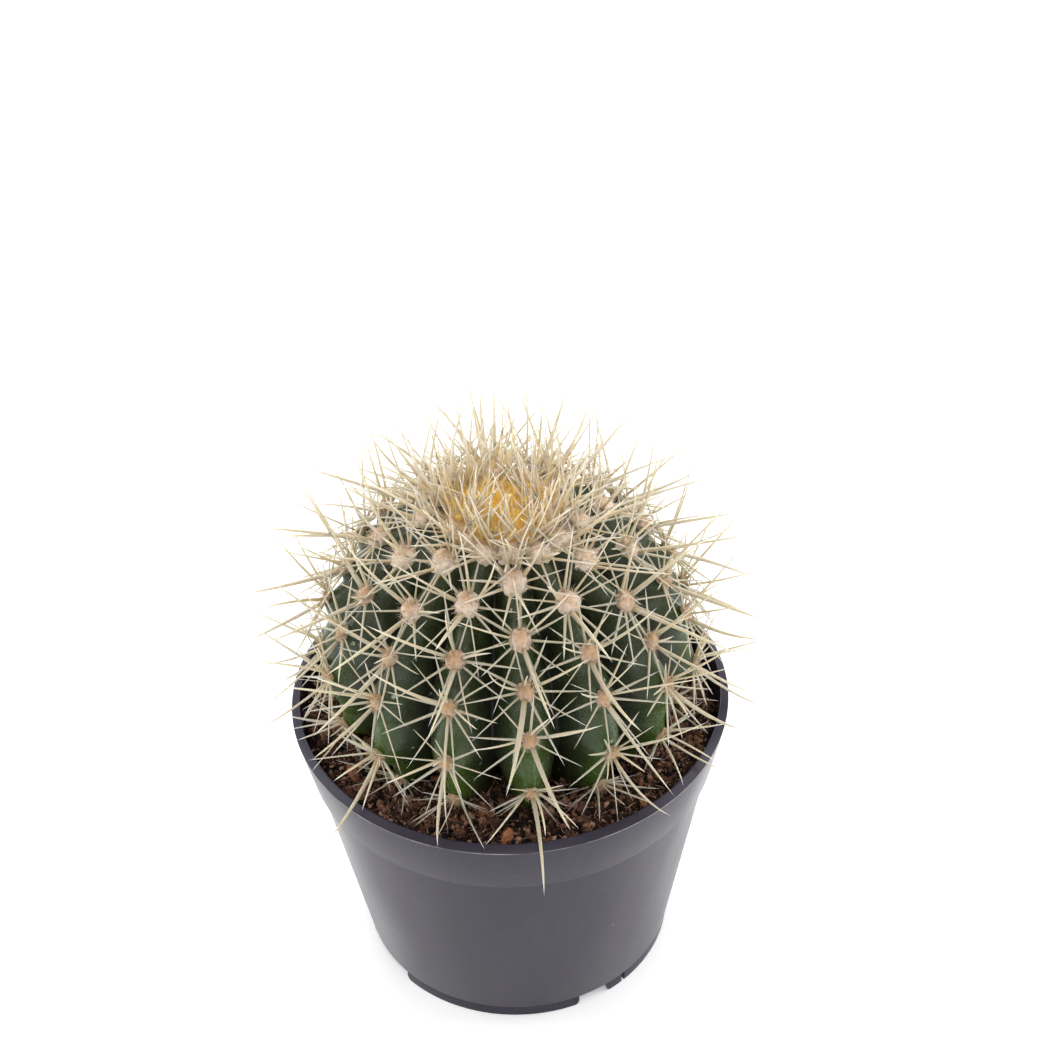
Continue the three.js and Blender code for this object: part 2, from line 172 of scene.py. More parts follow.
class SpineSettings(bpy.types.PropertyGroup):
    radials: whole_number("Radials", "Fewest radial spines on an areole", 9, least=1)
    radial_length: length("Radial length", "Length of a radial spine", 17 * MM)
    radial_radius: length("Radial radius", "Half the width of a radial spine", 0.46 * MM)
    central_length: length("Central length", "Length of the lowest central spine", 30 * MM)
    central_radius: length("Central radius", "Half the width of the lowest central spine", 0.78 * MM)
    crown_count: whole_number("Crown spines", "Number of spines in the crown", 74)
    crown_length: length("Crown spine length", "Length of a spine in the crown", 30 * MM)
    crown_spine_radius: length("Crown spine radius", "Half the width of a spine in the crown", 0.43 * MM)
    root: colour("Root", "Colour at the root of a spine", (0.43, 0.31, 0.15))
    shaft: colour("Shaft", "Colour along a spine", (0.418, 0.383, 0.297))
    tip: colour("Tip", "Colour at the tip of a spine", (0.440, 0.405, 0.340))
    ivory: colour("Ivory", "Colour along a young spine", (0.495, 0.438, 0.362))
    young: colour("Young root", "Colour at the root of a young spine", (0.58, 0.45, 0.27))
    golden_root: colour("Golden root", "Colour at a root in the middle of the crown", (0.62, 0.43, 0.17))
    golden: colour("Golden", "Colour along a spine in the middle of the crown", (0.50, 0.38, 0.215))


# Building


def deselect():
    if bpy.context.object and bpy.context.object.mode != "OBJECT":
        bpy.ops.object.mode_set(mode="OBJECT")
    bpy.ops.object.select_all(action="DESELECT")


def make_active(piece):
    deselect()
    piece.select_set(True)
    bpy.context.view_layer.objects.active = piece


def object_of(name, vertices, edges, faces):
    mesh = bpy.data.meshes.new(name)
    mesh.from_pydata(vertices, edges, faces)
    piece = bpy.data.objects.new(name, mesh)
    bpy.context.collection.objects.link(piece)
    make_active(piece)
    return piece


def in_edit_mode(piece, *steps):
    """Runs operators on everything in a piece's mesh."""
    make_active(piece)
    bpy.ops.object.mode_set(mode="EDIT")
    for step in steps:
        bpy.ops.mesh.select_all(action="SELECT")
        step()
    bpy.ops.object.mode_set(mode="OBJECT")


def turned(name, profile, steps):
    """A closed form spun about the upright axis from an outline of (radius, height) pairs."""
    vertices = [(radius, 0, height) for radius, height in profile]
    edges = [(i, i + 1) for i in range(len(profile) - 1)]
    piece = object_of(name, vertices, edges, [])
    in_edit_mode(
        piece,
        lambda: bpy.ops.mesh.spin(steps=steps, angle=2 * math.pi, center=(0, 0, 0), axis=(0, 0, 1)),
        lambda: bpy.ops.mesh.remove_doubles(threshold=1e-7),
        lambda: bpy.ops.mesh.normals_make_consistent(inside=False),
    )
    return piece


def rounded(outline, radii, steps=4):
    """An outline whose corners are replaced by arcs of the given radii."""
    points = [Vector(point) for point in outline]
    result = [points[0]]
    for before, corner, after, radius in zip(points, points[1:], points[2:], radii[1:]):
        back, ahead = (before - corner).normalized(), (after - corner).normalized()
        half = back.angle(ahead) / 2
        if radius == 0 or half > math.radians(89):
            result.append(corner)
            continue
        centre = corner + (back + ahead).normalized() * (radius / math.sin(half))
        start = corner + back * (radius / math.tan(half)) - centre
        end = corner + ahead * (radius / math.tan(half)) - centre
        result += [centre + start.lerp(end, i / steps).normalized() * radius for i in range(steps + 1)]
    return [tuple(point) for point in result + [points[-1]]]


def polar(radius, azimuth, height):
    angle = np.radians(azimuth)
    parts = np.broadcast_arrays(radius * np.sin(angle), -radius * np.cos(angle), height)
    return np.stack(parts, axis=-1)


def smooth(value, low, high):
    part = np.clip((np.asarray(value) - low) / (high - low), 0, 1)
    return part * part * (3 - 2 * part)


def unit(vectors):
    return vectors / np.linalg.norm(vectors, axis=-1, keepdims=True)


def drawn(count, pick):
    """The results of one draw after another."""
    return np.array([pick() for _ in range(count)])


def scatter(draw, spread, parts=3):
    return drawn(parts, lambda: draw.gauss(0, spread))


def coordinates(mesh):
    found = np.empty(len(mesh.vertices) * 3)
    mesh.vertices.foreach_get("co", found)
    return found.reshape(-1, 3)


def set_coordinates(mesh, points):
    mesh.vertices.foreach_set("co", np.ascontiguousarray(points, dtype=np.float64).ravel())
    mesh.update()


def paint(mesh, name, values):
    """Keeps one number for each vertex, which a material reads by name."""
    layer = mesh.attributes.new(name, "FLOAT", "POINT")
    layer.data.foreach_set("value", np.ascontiguousarray(values, dtype=np.float32).ravel())


def repeated(name, template, points, material, angle=None, **values):
    """One object made of a template's copies.

    points is (copies, vertices, 3), and a value is (copies, vertices) or spreads to it.
    """
    mesh = template.data
    copies, per_copy = points.shape[:2]
    faces = [tuple(polygon.vertices) for polygon in mesh.polygons]
    every = [tuple(i + copy * per_copy for i in face) for copy in range(copies) for face in faces]
    piece = object_of(name, points.reshape(-1, 3).tolist(), [], every)
    for key, value in values.items():
        paint(piece.data, key, np.broadcast_to(value, (copies, per_copy)))
    finish_piece(piece, material, angle)
    bpy.data.objects.remove(template)
    return piece


def needle(sides, cuts):
    """A tapering form along +Z, one unit wide at its root and one unit long, cut across where it may bend."""
    deselect()
    bpy.ops.mesh.primitive_cone_add(vertices=sides, radius1=1, radius2=0, depth=1, location=(0, 0, 0.5))
    form = bpy.context.object
    bpy.ops.object.transform_apply(location=True, rotation=True, scale=True)
    bisect = [
        lambda at=i / (cuts + 1): bpy.ops.mesh.bisect(plane_co=(0, 0, at), plane_no=(0, 0, 1))
        for i in range(1, cuts + 1)
    ]
    in_edit_mode(form, *bisect)
    return form


def pebble(detail):
    deselect()
    bpy.ops.mesh.primitive_ico_sphere_add(subdivisions=detail, radius=1)
    return bpy.context.object


def finish_piece(piece, material, angle=None):
    piece.data.materials.clear()
    piece.data.materials.append(material)
    make_active(piece)
    if angle is None:
        bpy.ops.object.shade_smooth()
    else:
        bpy.ops.object.shade_smooth_by_angle(angle=angle)


def declare(piece, node):
    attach(piece, "root")
    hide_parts(node)


# Materials

PALE_SPECK = (0.30, 0.27, 0.25)
DARK_SPECK = (0.004, 0.003, 0.003)
# Width of the painted highlight along the rim's outer edge
RIM_HIGHLIGHT_WIDTH = 0.10 * MM
MIX_FIRST = 6
MIX_SECOND = 7
MIX_RESULT = 2
FIBRE_END = (0.52, 0.34, 0.22)
FRESH_TINT = (0.052, 0.088, 0.016)
PORE = (0.30, 0.36, 0.27)
SCAR = (0.42, 0.44, 0.34)
# Colour of the painted highlight streaks on the lower crests
CREST_HIGHLIGHT = (0.24, 0.31, 0.20)


def toned(base, *factors):
    """A colour times one factor, or times one for each of its three parts."""
    return tuple(part * factor for part, factor in zip(base, factors * (3 // len(factors))))


class Finish:
    """A material laid out node by node around its principled shader."""

    def __init__(self, name):
        self.material = bpy.data.materials.new(name)
        self.material.use_nodes = True
        self.tree = self.material.node_tree
        self.shader = self.tree.nodes["Principled BSDF"]

    def node(self, kind, settings=(), **sockets):
        made = self.tree.nodes.new(kind)
        for key, value in dict(settings).items():
            setattr(made, key, value)
        for key, value in sockets.items():
            self.feed(made.inputs[key.replace("_", " ")], value)
        return made

    def feed(self, socket, value):
        """Links a node's output to a socket, or sets the socket's own value."""
        if isinstance(value, bpy.types.NodeSocket):
            self.tree.links.new(value, socket)
        elif socket.type == "RGBA":
            socket.default_value = (*value, 1)
        else:
            socket.default_value = value

    def surface(self, **sockets):
        for key, value in sockets.items():
            self.feed(self.shader.inputs[key.replace("_", " ")], value)

    def place(self, scale=(1, 1, 1)):
        """Object coordinates, stretched."""
        where = self.node("ShaderNodeTexCoord").outputs["Object"]
        return self.node("ShaderNodeMapping", Vector=where, Scale=scale).outputs["Vector"]

    def out(self):
        """Distance from the upright axis."""
        made = self.node("ShaderNodeVectorMath", {"operation": "LENGTH"})
        self.feed(made.inputs[0], self.place((1, 1, 0)))
        return made.outputs["Value"]

    def value(self, name):
        """A number kept on the mesh for each vertex."""
        return self.node("ShaderNodeAttribute", {"attribute_name": name}).outputs["Fac"]

    def noise(self, grain, detail=3, roughness=0.5, scale=(1, 1, 1)):
        """Cloudy variation between 0 and 1, with features about one grain wide."""
        made = self.node(
            "ShaderNodeTexNoise",
            Vector=self.place(scale),
            Scale=1 / grain,
            Detail=detail,
            Roughness=roughness,
        )
        return made.outputs["Fac"]

    def specks(self, spacing, size):
        """1 in small round specks and 0 between them."""
        made = self.node("ShaderNodeTexVoronoi", Vector=self.place(), Scale=1 / spacing)
        return self.between(made.outputs["Distance"], size, size * 0.6)

    def between(self, value, low, high, out_low=0.0, out_high=1.0):
        """A value's place between two numbers, kept between two others."""
        made = self.node("ShaderNodeMapRange", Value=value)
        for name, number in zip(("From Min", "From Max", "To Min", "To Max"), (low, high, out_low, out_high)):
            made.inputs[name].default_value = number
        return made.outputs["Result"]

    def math(self, operation, first, second=0.0):
        made = self.node("ShaderNodeMath", {"operation": operation})
        self.feed(made.inputs[0], first)
        self.feed(made.inputs[1], second)
        return made.outputs["Value"]

    def plus(self, first, second):
        return self.math("ADD", first, second)

    def times(self, first, second):
        return self.math("MULTIPLY", first, second)

    def mix(self, factor, first, second):
        made = self.node("ShaderNodeMix", {"data_type": "RGBA"})
        self.feed(made.inputs["Factor"], factor)
        self.feed(made.inputs[MIX_FIRST], first)
        self.feed(made.inputs[MIX_SECOND], second)
        return made.outputs[MIX_RESULT]

    def ramp(self, factor, *stops):
        made = self.node("ShaderNodeValToRGB", Fac=factor)
        elements = made.color_ramp.elements
        while len(elements) < len(stops):
            elements.new(0.5)
        for element, (position, tint) in zip(elements, stops):
            element.position = position
            element.color = (*tint, 1)
        return made.outputs["Color"]

    def bump(self, height, distance, strength=1.0, under=None):
        made = self.node("ShaderNodeBump", Height=height, Distance=distance, Strength=strength)
        if under is not None:
            self.feed(made.inputs["Normal"], under)
        return made.outputs["Normal"]


def plastic_finish(pot):
    """Satin moulded plastic with soft upright streaks, a few specks, a little dust and a painted highlight
    along the rim's outer edge.
    """
    finish = Finish("satin anthracite plastic")
    flow = finish.noise(5 * MM, 3, 0.5, (1, 1, 0.07))
    smudge = finish.noise(24 * MM, 2, 0.45, (1, 1, 0.35))
    cloud = finish.plus(finish.times(flow, 0.35), finish.times(smudge, 0.65))
    body = finish.ramp(cloud, (0.35, toned(pot.plastic, 0.82)), (0.62, toned(pot.plastic, 1.15)))
    dusty = finish.between(finish.noise(3 * MM, 5, 0.65), 0.55, 0.85, 0.0, 0.10)
    body = finish.mix(dusty, body, pot.dust)
    few_pale = finish.math("GREATER_THAN", finish.noise(14 * MM, 1), 0.64)
    few_dark = finish.math("GREATER_THAN", finish.noise(11 * MM, 1, 0.5, (1.3, 1.1, 0.8)), 0.60)
    body = finish.mix(finish.times(finish.specks(6 * MM, 0.05), few_pale), body, PALE_SPECK)
    body = finish.mix(finish.times(finish.specks(4.1 * MM, 0.06), few_dark), body, DARK_SPECK)
    # Painted highlight: a pale line painted just inside the rim's outer edge, broken into patches by noise.
    edge = finish.between(finish.out(), rim_radius() - RIM_HIGHLIGHT_WIDTH, rim_radius() - RIM_HIGHLIGHT_WIDTH / 2)
    patchy = finish.between(finish.noise(9 * MM, 3), 0.35, 0.65, 0.1, 0.9)
    body = finish.mix(finish.times(edge, patchy), body, pot.rim_highlight)
    streaky = finish.bump(flow, 0.15 * MM, 0.25)
    finish.surface(
        Base_Color=body,
        Specular_IOR_Level=0.27,
        Roughness=finish.between(smudge, 0.35, 0.65, 0.22, 0.34),
        Normal=finish.bump(finish.noise(0.55 * MM, 2), 0.02 * MM, 0.4, streaky),
    )
    return finish.material


def soil_finish(soil):
    """Black peat and rusty coir in matted clods, painted lighter on the raised clods and darker in the
    hollows between them.
    """
    finish = Finish("peat and coir")
    grain = finish.noise(0.8 * MM, 6, 0.7)
    cloud = finish.noise(6 * MM, 4, 0.65)
    one_way = finish.noise(0.6 * MM, 3, 0.6, (1, 0.22, 1))
    other_way = finish.noise(0.6 * MM, 3, 0.6, (0.22, 1, 1))
    strands = finish.math("MAXIMUM", one_way, other_way)
    shade = finish.plus(finish.times(grain, 0.35), finish.times(cloud, 0.55))
    shade = finish.plus(shade, finish.between(strands, 0.45, 0.75, -0.05, 0.13))
    # On the bed the tint lightens the raised clods and darkens the hollows; on the crumbs it varies at
    # random.
    shade = finish.plus(shade, finish.between(finish.value("tint"), 0, 1, -0.30, 0.31))
    body = finish.ramp(shade, (0.30, soil.dark), (0.44, soil.brown), (0.56, soil.rust), (0.70, soil.light))
    finish.surface(
        Base_Color=body,
        Roughness=finish.between(grain, 0, 1, 0.75, 0.98),
        Specular_IOR_Level=0.2,
        Normal=finish.bump(strands, 0.8 * MM, 0.8, finish.bump(grain, 0.7 * MM, 0.9)),
    )
    return finish.material


def bark_finish(soil):
    """Bark chips with streaks along their grain."""
    finish = Finish("bark")
    streaks = finish.noise(0.8 * MM, 4, 0.6, (1, 0.35, 1))
    body = finish.ramp(streaks, (0.3, toned(soil.bark, 0.35)), (0.62, soil.bark))
    body = finish.mix(finish.between(finish.value("tint"), 0.15, 0.9, 0.85, 0.0), body, soil.brown)
    finish.surface(
        Base_Color=body,
        Roughness=finish.between(streaks, 0, 1, 0.55, 0.85),
        Normal=finish.bump(streaks, 0.3 * MM, 0.8),
    )
    return finish.material


def fibre_finish(soil):
    """Coir fibres, tan to pinkish brown."""
    finish = Finish("coir fibre")
    cloud = finish.noise(1.5 * MM, 3)
    shade = finish.plus(finish.times(finish.value("tint"), 0.7), finish.times(cloud, 0.3))
    body = finish.ramp(shade, (0.15, soil.brown), (0.6, soil.light), (0.95, FIBRE_END))
    finish.surface(Base_Color=body, Roughness=0.8)
    return finish.material


def skin_finish(plant):
    """Waxy skin: painted shade in the valleys, fresh lower crests, a grey bloom on the upper body that is
    partly a painted sheen, painted highlight streaks on the lower crests, pale pores and scars.
    """
    finish = Finish("cactus skin")
    crest = finish.value("crest")
    low = finish.value("low")
    mottle = finish.noise(4.5 * MM, 5, 0.6)
    fine = finish.noise(0.8 * MM, 4, 0.65)
    # Painted shade: the colour darkens from the flanks into the valleys between the ribs.
    body = finish.ramp(crest, (0.08, plant.valley_shade_green), (0.72, plant.green))
    cool = finish.times(finish.between(finish.noise(7 * MM, 2), 0.48, 0.68, 0.0, 0.6), crest)
    body = finish.mix(cool, body, plant.cool_green)
    freshness = finish.times(finish.between(crest, 0.55, 1.0), finish.between(low, 0.35, 0.9))
    body = finish.mix(freshness, body, plant.fresh_green)
    # Partly painted sheen: the bloom is mixed in more strongly towards the top, standing in for the grey
    # reflection there.
    waxy = finish.times(finish.between(mottle, 0.42, 0.72), finish.between(low, 0.6, 0.05, 0.05, 0.6))
    body = finish.mix(waxy, body, plant.bloom)
    fresh = finish.times(finish.between(fine, 0.35, 0.75, 0.0, 0.3), crest)
    body = finish.mix(fresh, body, FRESH_TINT)
    pores = finish.times(finish.specks(1.5 * MM, 0.13), finish.between(mottle, 0.45, 0.6, 0.0, 0.4))
    body = finish.mix(pores, body, PORE)
    scars = finish.times(finish.specks(7.5 * MM, 0.10), finish.between(fine, 0.45, 0.55))
    body = finish.mix(scars, body, SCAR)
    # Painted highlight: pale upright streaks painted on the lower crests, standing in for glossy highlights.
    highlight_streaks = finish.between(finish.noise(1.3 * MM, 2, 0.5, (1, 1, 0.22)), 0.58, 0.72)
    on_crests = finish.times(freshness, finish.between(crest, 0.75, 0.95, 0.0, 0.55))
    body = finish.mix(finish.times(highlight_streaks, on_crests), body, CREST_HIGHLIGHT)
    gloss = finish.between(fine, 0.3, 0.7, 0.0, 0.16)
    finish.surface(
        Base_Color=body,
        Roughness=finish.plus(gloss, finish.between(crest, 0.1, 0.7, 0.5, 0.15)),
        Specular_IOR_Level=0.36,
        Normal=finish.bump(fine, 0.14 * MM, 0.6, finish.bump(mottle, 0.9 * MM, 0.6)),
    )
    return finish.material


def felt_finish(plant):
    """Short matted hair, pinkish when young and ochre when old."""
    finish = Finish("areole felt")
    age = finish.value("age")
    patches = finish.noise(1.6 * MM, 4, 0.6)
    body = finish.ramp(age, (0.08, plant.pale_felt), (0.35, plant.felt), (0.85, plant.old_felt))
    among = finish.plus(finish.between(finish.value("core"), 0, 1, -0.25, 0.75), patches)
    body = finish.mix(finish.between(among, 0.45, 1.25, 0.0, 0.75), body, plant.tan_felt)
    uneven = finish.between(finish.value("tint"), 0.9, 0.1, 0.05, 0.4)
    patchy = finish.times(finish.between(patches, 0.56, 0.75), uneven)
    body = finish.mix(patchy, body, toned(plant.tan_felt, 0.70, 0.58, 0.48))
    finish.surface(Base_Color=body, Roughness=0.95, Sheen_Weight=0.25, Sheen_Roughness=0.5)
    return finish.material


def wool_finish(plant):
    """Golden wool, deeper between the tufts and pale as felt around the edge."""
    finish = Finish("crown wool")
    patches = finish.noise(2.5 * MM, 4, 0.6)
    light = finish.plus(finish.times(finish.value("along"), 0.25), finish.times(patches, 0.5))
    light = finish.plus(light, finish.times(finish.value("tuft"), 0.35))
    body = finish.ramp(light, (0.28, plant.deep_wool), (0.50, plant.wool), (0.85, plant.pale_wool))
    outer = finish.plus(finish.value("out"), finish.between(patches, 0.3, 0.7, -0.2, 0.2))
    body = finish.mix(finish.between(outer, 0.86, 1.15), body, plant.pale_felt)
    finish.surface(Base_Color=body, Roughness=0.95, Sheen_Weight=0.25, Sheen_Roughness=0.5)
    return finish.material


def spine_finish(spines):
    """Horn-like spines, ochre at the root and ivory along the shaft, golden in the middle of the crown."""
    finish = Finish("ivory spine")
    along = finish.value("along")
    tint = finish.value("tint")
    youth = finish.value("youth")
    cloud = finish.noise(2.5 * MM, 3, 0.6)
    old = finish.ramp(
        along, (0.0, spines.root), (0.16, spines.shaft), (0.75, spines.shaft), (1.0, spines.tip)
    )
    young = finish.ramp(along, (0.10, spines.young), (0.55, spines.ivory))
    body = finish.mix(finish.between(youth, 0, 0.7), old, young)
    golden = finish.ramp(along, (0.15, spines.golden_root), (0.65, spines.golden))
    body = finish.mix(finish.between(youth, 0.7, 1.0), body, golden)
    wear = finish.times(finish.between(cloud, 0.4, 0.7), finish.between(tint, 0, 1, 0.1, 0.75))
    wear = finish.times(wear, finish.between(youth, 0, 1, 1.0, 0.3))
    body = finish.mix(wear, body, toned(spines.tip, 0.82, 0.74, 0.62))
    finish.surface(
        Base_Color=body,
        Subsurface_Weight=0.9,
        Subsurface_Radius=(1, 0.85, 0.6),
        Subsurface_Scale=2.2 * MM,
        Specular_IOR_Level=0.3,
        Roughness=finish.between(cloud, 0, 1, 0.38, 0.58),
        Normal=finish.bump(finish.noise(0.35 * MM, 2), 0.05 * MM, 0.4),
    )
    return finish.material


def floor_finish():
    """Pale paper, barely clouded."""
    finish = Finish("studio floor")
    cloud = finish.noise(0.4, 2)
    finish.surface(
        Base_Color=finish.ramp(cloud, (0.3, (0.93, 0.93, 0.93)), (0.7, (0.96, 0.96, 0.96))),
        Roughness=0.7,
        Specular_IOR_Level=0.2,
        Emission_Color=(1, 1, 1),
        Emission_Strength=0.25,
    )
    return finish.material


# Pot

POT_STEPS = 192
NARROW_NOTCH = (9 * MM, (27.4, 207.4))
WIDE_NOTCH = (20 * MM, (-62.6, 117.4))
FOOT_SLIT = (1.2 * MM, (41.5, 221.5))
CUTTER_DEPTH = 12 * MM
DRAIN_STEPS = 32
EDGE = 0.35 * MM
CORNER_STEPS = 6
CUT_BELOW = 1 * MM
SHARP_EDGE = math.radians(30)


def rim_radius():
    return POT_BOX[1].x


def rim_height(pot):
    return POT_BOX[1].z - pot.lip_rise


def collar_foot_height(pot):
    return rim_height(pot) - pot.collar_height


def pot_outline(pot):
    foot = pot.wall_foot - pot.foot_step
    wall_top = pot.collar_foot - pot.collar_step
    rim, lip_top = rim_radius(), POT_BOX[1].z
    collar_foot = collar_foot_height(pot)
    inner_floor = pot.foot_height + pot.floor
    corners = [
        (0, pot.foot_height, 0),
        (foot - pot.foot_width, pot.foot_height, 0),
        (foot - pot.foot_width, 0, EDGE),
        (foot, 0, EDGE),
        (foot, pot.foot_height, 0),
        (pot.wall_foot, pot.foot_height, EDGE / 2),
        (wall_top, collar_foot, 0),
        (pot.collar_foot, collar_foot, EDGE),
        (rim, rim_height(pot), EDGE),
        (rim - pot.lip_width, lip_top, EDGE),
        (pot.collar_foot - pot.wall, collar_foot, EDGE),
        (wall_top - pot.wall, collar_foot - pot.collar_step, EDGE),
        (pot.wall_foot - pot.wall, inner_floor, EDGE * 2),
        (0, inner_floor, 0),
    ]
    outline = [(radius, height) for radius, height, _ in corners]
    return rounded(outline, [corner for _, _, corner in corners])


def notch_cutter(pot, width, corner):
    """A cutter for a gap in the foot ring, flared below where the feet beside it have round corners."""
    half = width / 2
    side = [(half, pot.foot_height)]
    if corner > 0:
        turns = [math.pi + math.pi / 2 * i / CORNER_STEPS for i in range(CORNER_STEPS + 1)]
        side += [(half + corner + corner * math.cos(a), corner + corner * math.sin(a)) for a in turns]
    side.append((half + corner, -CUT_BELOW))
    outline = side + [(-x, z) for x, z in reversed(side)]
    front = -(pot.wall_foot + CUTTER_DEPTH / 2)
    vertices = [(x, front, z) for x, z in outline]
    cutter = object_of("cutter", vertices, [], [range(len(vertices))])
    in_edit_mode(
        cutter,
        lambda: bpy.ops.mesh.extrude_region_move(TRANSFORM_OT_translate={"value": (0, CUTTER_DEPTH, 0)}),
        lambda: bpy.ops.mesh.normals_make_consistent(inside=False),
    )
    return cutter


def drain_cutter(pot):
    deselect()
    bpy.ops.mesh.primitive_cylinder_add(
        vertices=DRAIN_STEPS,
        radius=pot.drain_radius,
        depth=CUTTER_DEPTH / 2,
        location=(0, -pot.drain_ring, pot.foot_height + pot.floor / 2),
    )
    bpy.ops.object.transform_apply(location=True, rotation=True, scale=True)
    return bpy.context.object


def turn_mesh(piece, azimuth):
    piece.data.transform(Matrix.Rotation(math.radians(azimuth), 4, "Z"))
    return piece


def cut(piece, cutter):
    make_active(piece)
    modifier = piece.modifiers.new("cut", "BOOLEAN")
    modifier.operation = "DIFFERENCE"
    modifier.object = cutter
    bpy.ops.object.modifier_apply(modifier=modifier.name)
    bpy.data.objects.remove(cutter)


def make_pot(pot):
    piece = turned("nursery_pot", pot_outline(pot), POT_STEPS)
    for width, azimuths, corner in (
        (*NARROW_NOTCH, pot.foot_corner), (*WIDE_NOTCH, pot.foot_corner), (*FOOT_SLIT, 0),
    ):
        for azimuth in azimuths:
            cut(piece, turn_mesh(notch_cutter(pot, width, corner), azimuth))
    for hole in range(pot.drain_count):
        cut(piece, turn_mesh(drain_cutter(pot), 360 / pot.drain_count * hole))
    finish_piece(piece, plastic_finish(pot), SHARP_EDGE)
    declare(piece, "pot")


def pot_inside(pot, height):
    """Inner radius of the pot at a height in its collar."""
    low = (pot.collar_foot - pot.wall, collar_foot_height(pot))
    high = (rim_radius() - pot.lip_width, POT_BOX[1].z)
    part = (height - low[1]) / (high[1] - low[1])
    return low[0] + (high[0] - low[0]) * part


# Soil

SOIL_SEED = 31
SOIL_INNER = 22 * MM
SOIL_RINGS = 62
SOIL_STEPS = 360
WALL_GAP = 0.35 * MM
SEAT_GAP = 0.3 * MM
WALL_SINK = 2.4 * MM
WALL_SINK_WIDTH = 2.6 * MM
SWELL_WIDTH = 14 * MM
SWELL_RISE = 0.9 * MM
CRUMB_WIDTH = 1.9 * MM
CRUMB_RISE = 0.55 * MM
GRAIN_WIDTH = 1.3 * MM
GRAIN_RISE = 0.3 * MM
CRUMB_MARGIN = 0.8 * MM
CRUMB_EDGE = math.radians(20)
CHIP_MARGIN = 3.5 * MM
CHIP_LIFT = 0.2 * MM
FRONT_CHIP = (52.4 * MM, -2.4)
FIBRE_MARGIN = 4 * MM
FIBRE_SINK = 0.2 * MM
FIBRE_BEND = 0.45


def soil_level(x, y, pot, soil):
    """Middle height of the soil, lower to the right and the back."""
    return rim_height(pot) - soil.drop - soil.tilt * ((x + y * 0.5) / rim_radius())


def soil_edge(pot, soil):
    """Inner radius of the pot at the height of the soil."""
    return pot_inside(pot, rim_height(pot) - soil.drop)


def soil_relief(x, y, soil):
    """Height of clods and crumbs above the middle of the soil."""
    broad = noise.fractal(Vector((x, y, 0)) / SWELL_WIDTH, 0.9, 2.0, 3)
    large, _ = noise.voronoi(Vector((x + 2.2 * MM * broad, y, 3 * MM)) / soil.clod_size)
    clod = min(1.0, 2.2 * (large[1] - large[0]))
    small, _ = noise.voronoi(Vector((x, y, 7 * MM)) / CRUMB_WIDTH)
    crumb = min(1.0, 2.0 * (small[1] - small[0]))
    grain = noise.fractal(Vector((x, y, 1)) / GRAIN_WIDTH, 0.8, 2.0, 2)
    fine = SWELL_RISE * broad + CRUMB_RISE * (crumb - 0.5) + GRAIN_RISE * grain
    return soil.clod_rise * (clod - 0.55) + fine


def soil_top(x, y, pot, soil):
    """Height of the soil, which sinks a little along the wall."""
    edge = soil_edge(pot, soil)
    sink = WALL_SINK * smooth(math.hypot(x, y), edge - WALL_SINK_WIDTH, edge)
    return soil_level(x, y, pot, soil) + soil_relief(x, y, soil) - float(sink)


def soil_outline(pot, soil):
    """Outline of the soil from the floor up the wall and in over the top in close rings."""
    edge = soil_edge(pot, soil) - WALL_GAP
    bottom = pot.foot_height + pot.floor + SEAT_GAP
    collar_foot = collar_foot_height(pot)
    under_collar = pot.collar_foot - pot.wall - SEAT_GAP
    sides = [
        (0, bottom),
        (pot.wall_foot - pot.wall - SEAT_GAP, bottom),
        (under_collar - pot.collar_step, collar_foot - pot.collar_step + SEAT_GAP),
        (under_collar, collar_foot + SEAT_GAP),
    ]
    level = rim_height(pot) - soil.drop
    rings = [(edge + (SOIL_INNER - edge) * i / SOIL_RINGS, level) for i in range(SOIL_RINGS + 1)]
    return sides + rings + [(0, level)]


def make_soil_bed(pot, soil, material):
    piece = turned("soil_bed", soil_outline(pot, soil), SOIL_STEPS)
    points = coordinates(piece.data)
    top = points[:, 2] > rim_height(pot) - soil.drop - 0.1 * MM
    raised = np.zeros(len(points))
    for i in np.flatnonzero(top):
        x, y = points[i, 0], points[i, 1]
        points[i, 2] = soil_top(x, y, pot, soil)
        raised[i] = (points[i, 2] - soil_level(x, y, pot, soil)) / (2 * soil.clod_rise)
    set_coordinates(piece.data, points)
    # The tint follows the height above the soil's middle, so the soil is painted lighter on its clods and
    # darker in its hollows.
    paint(piece.data, "tint", np.clip(0.45 + raised * 0.8, 0, 1))
    finish_piece(piece, material)
    declare(piece, "soil")


def soil_spots(count, draw, pot, soil, margin):
    """Random places on the open soil: x, y and the height of the surface."""
    edge = soil_edge(pot, soil) - margin
    spots = []
    for _ in range(count):
        radius = math.sqrt(draw.uniform(SOIL_INNER**2, edge**2))
        x, y, _ = polar(radius, draw.uniform(0, 360), 0)
        spots.append((x, y, soil_top(x, y, pot, soil)))
    return np.array(spots)


def random_turns(count, draw):
    """Random rotation matrices, one for each copy."""
    w, x, y, z = unit(drawn(count, lambda: scatter(draw, 1, 4))).T
    return np.array([
        [1 - 2 * (y * y + z * z), 2 * (x * y - z * w), 2 * (x * z + y * w)],
        [2 * (x * y + z * w), 1 - 2 * (x * x + z * z), 2 * (y * z - x * w)],
        [2 * (x * z - y * w), 2 * (y * z + x * w), 1 - 2 * (x * x + y * y)],
    ]).transpose(2, 0, 1)


def lumps(template, spots, sizes, draw, roughness):
    """Rough lumps of given half sizes (count, 3), turned at random and set on their spots."""
    form = coordinates(template.data)
    rough = drawn(len(spots), lambda: [draw.uniform(1 - roughness, 1 + roughness) for _ in form])
    shaped = form[None] * rough[..., None] * sizes[:, None]
    return np.einsum("cij,cvj->cvi", random_turns(len(spots), draw), shaped) + spots[:, None]


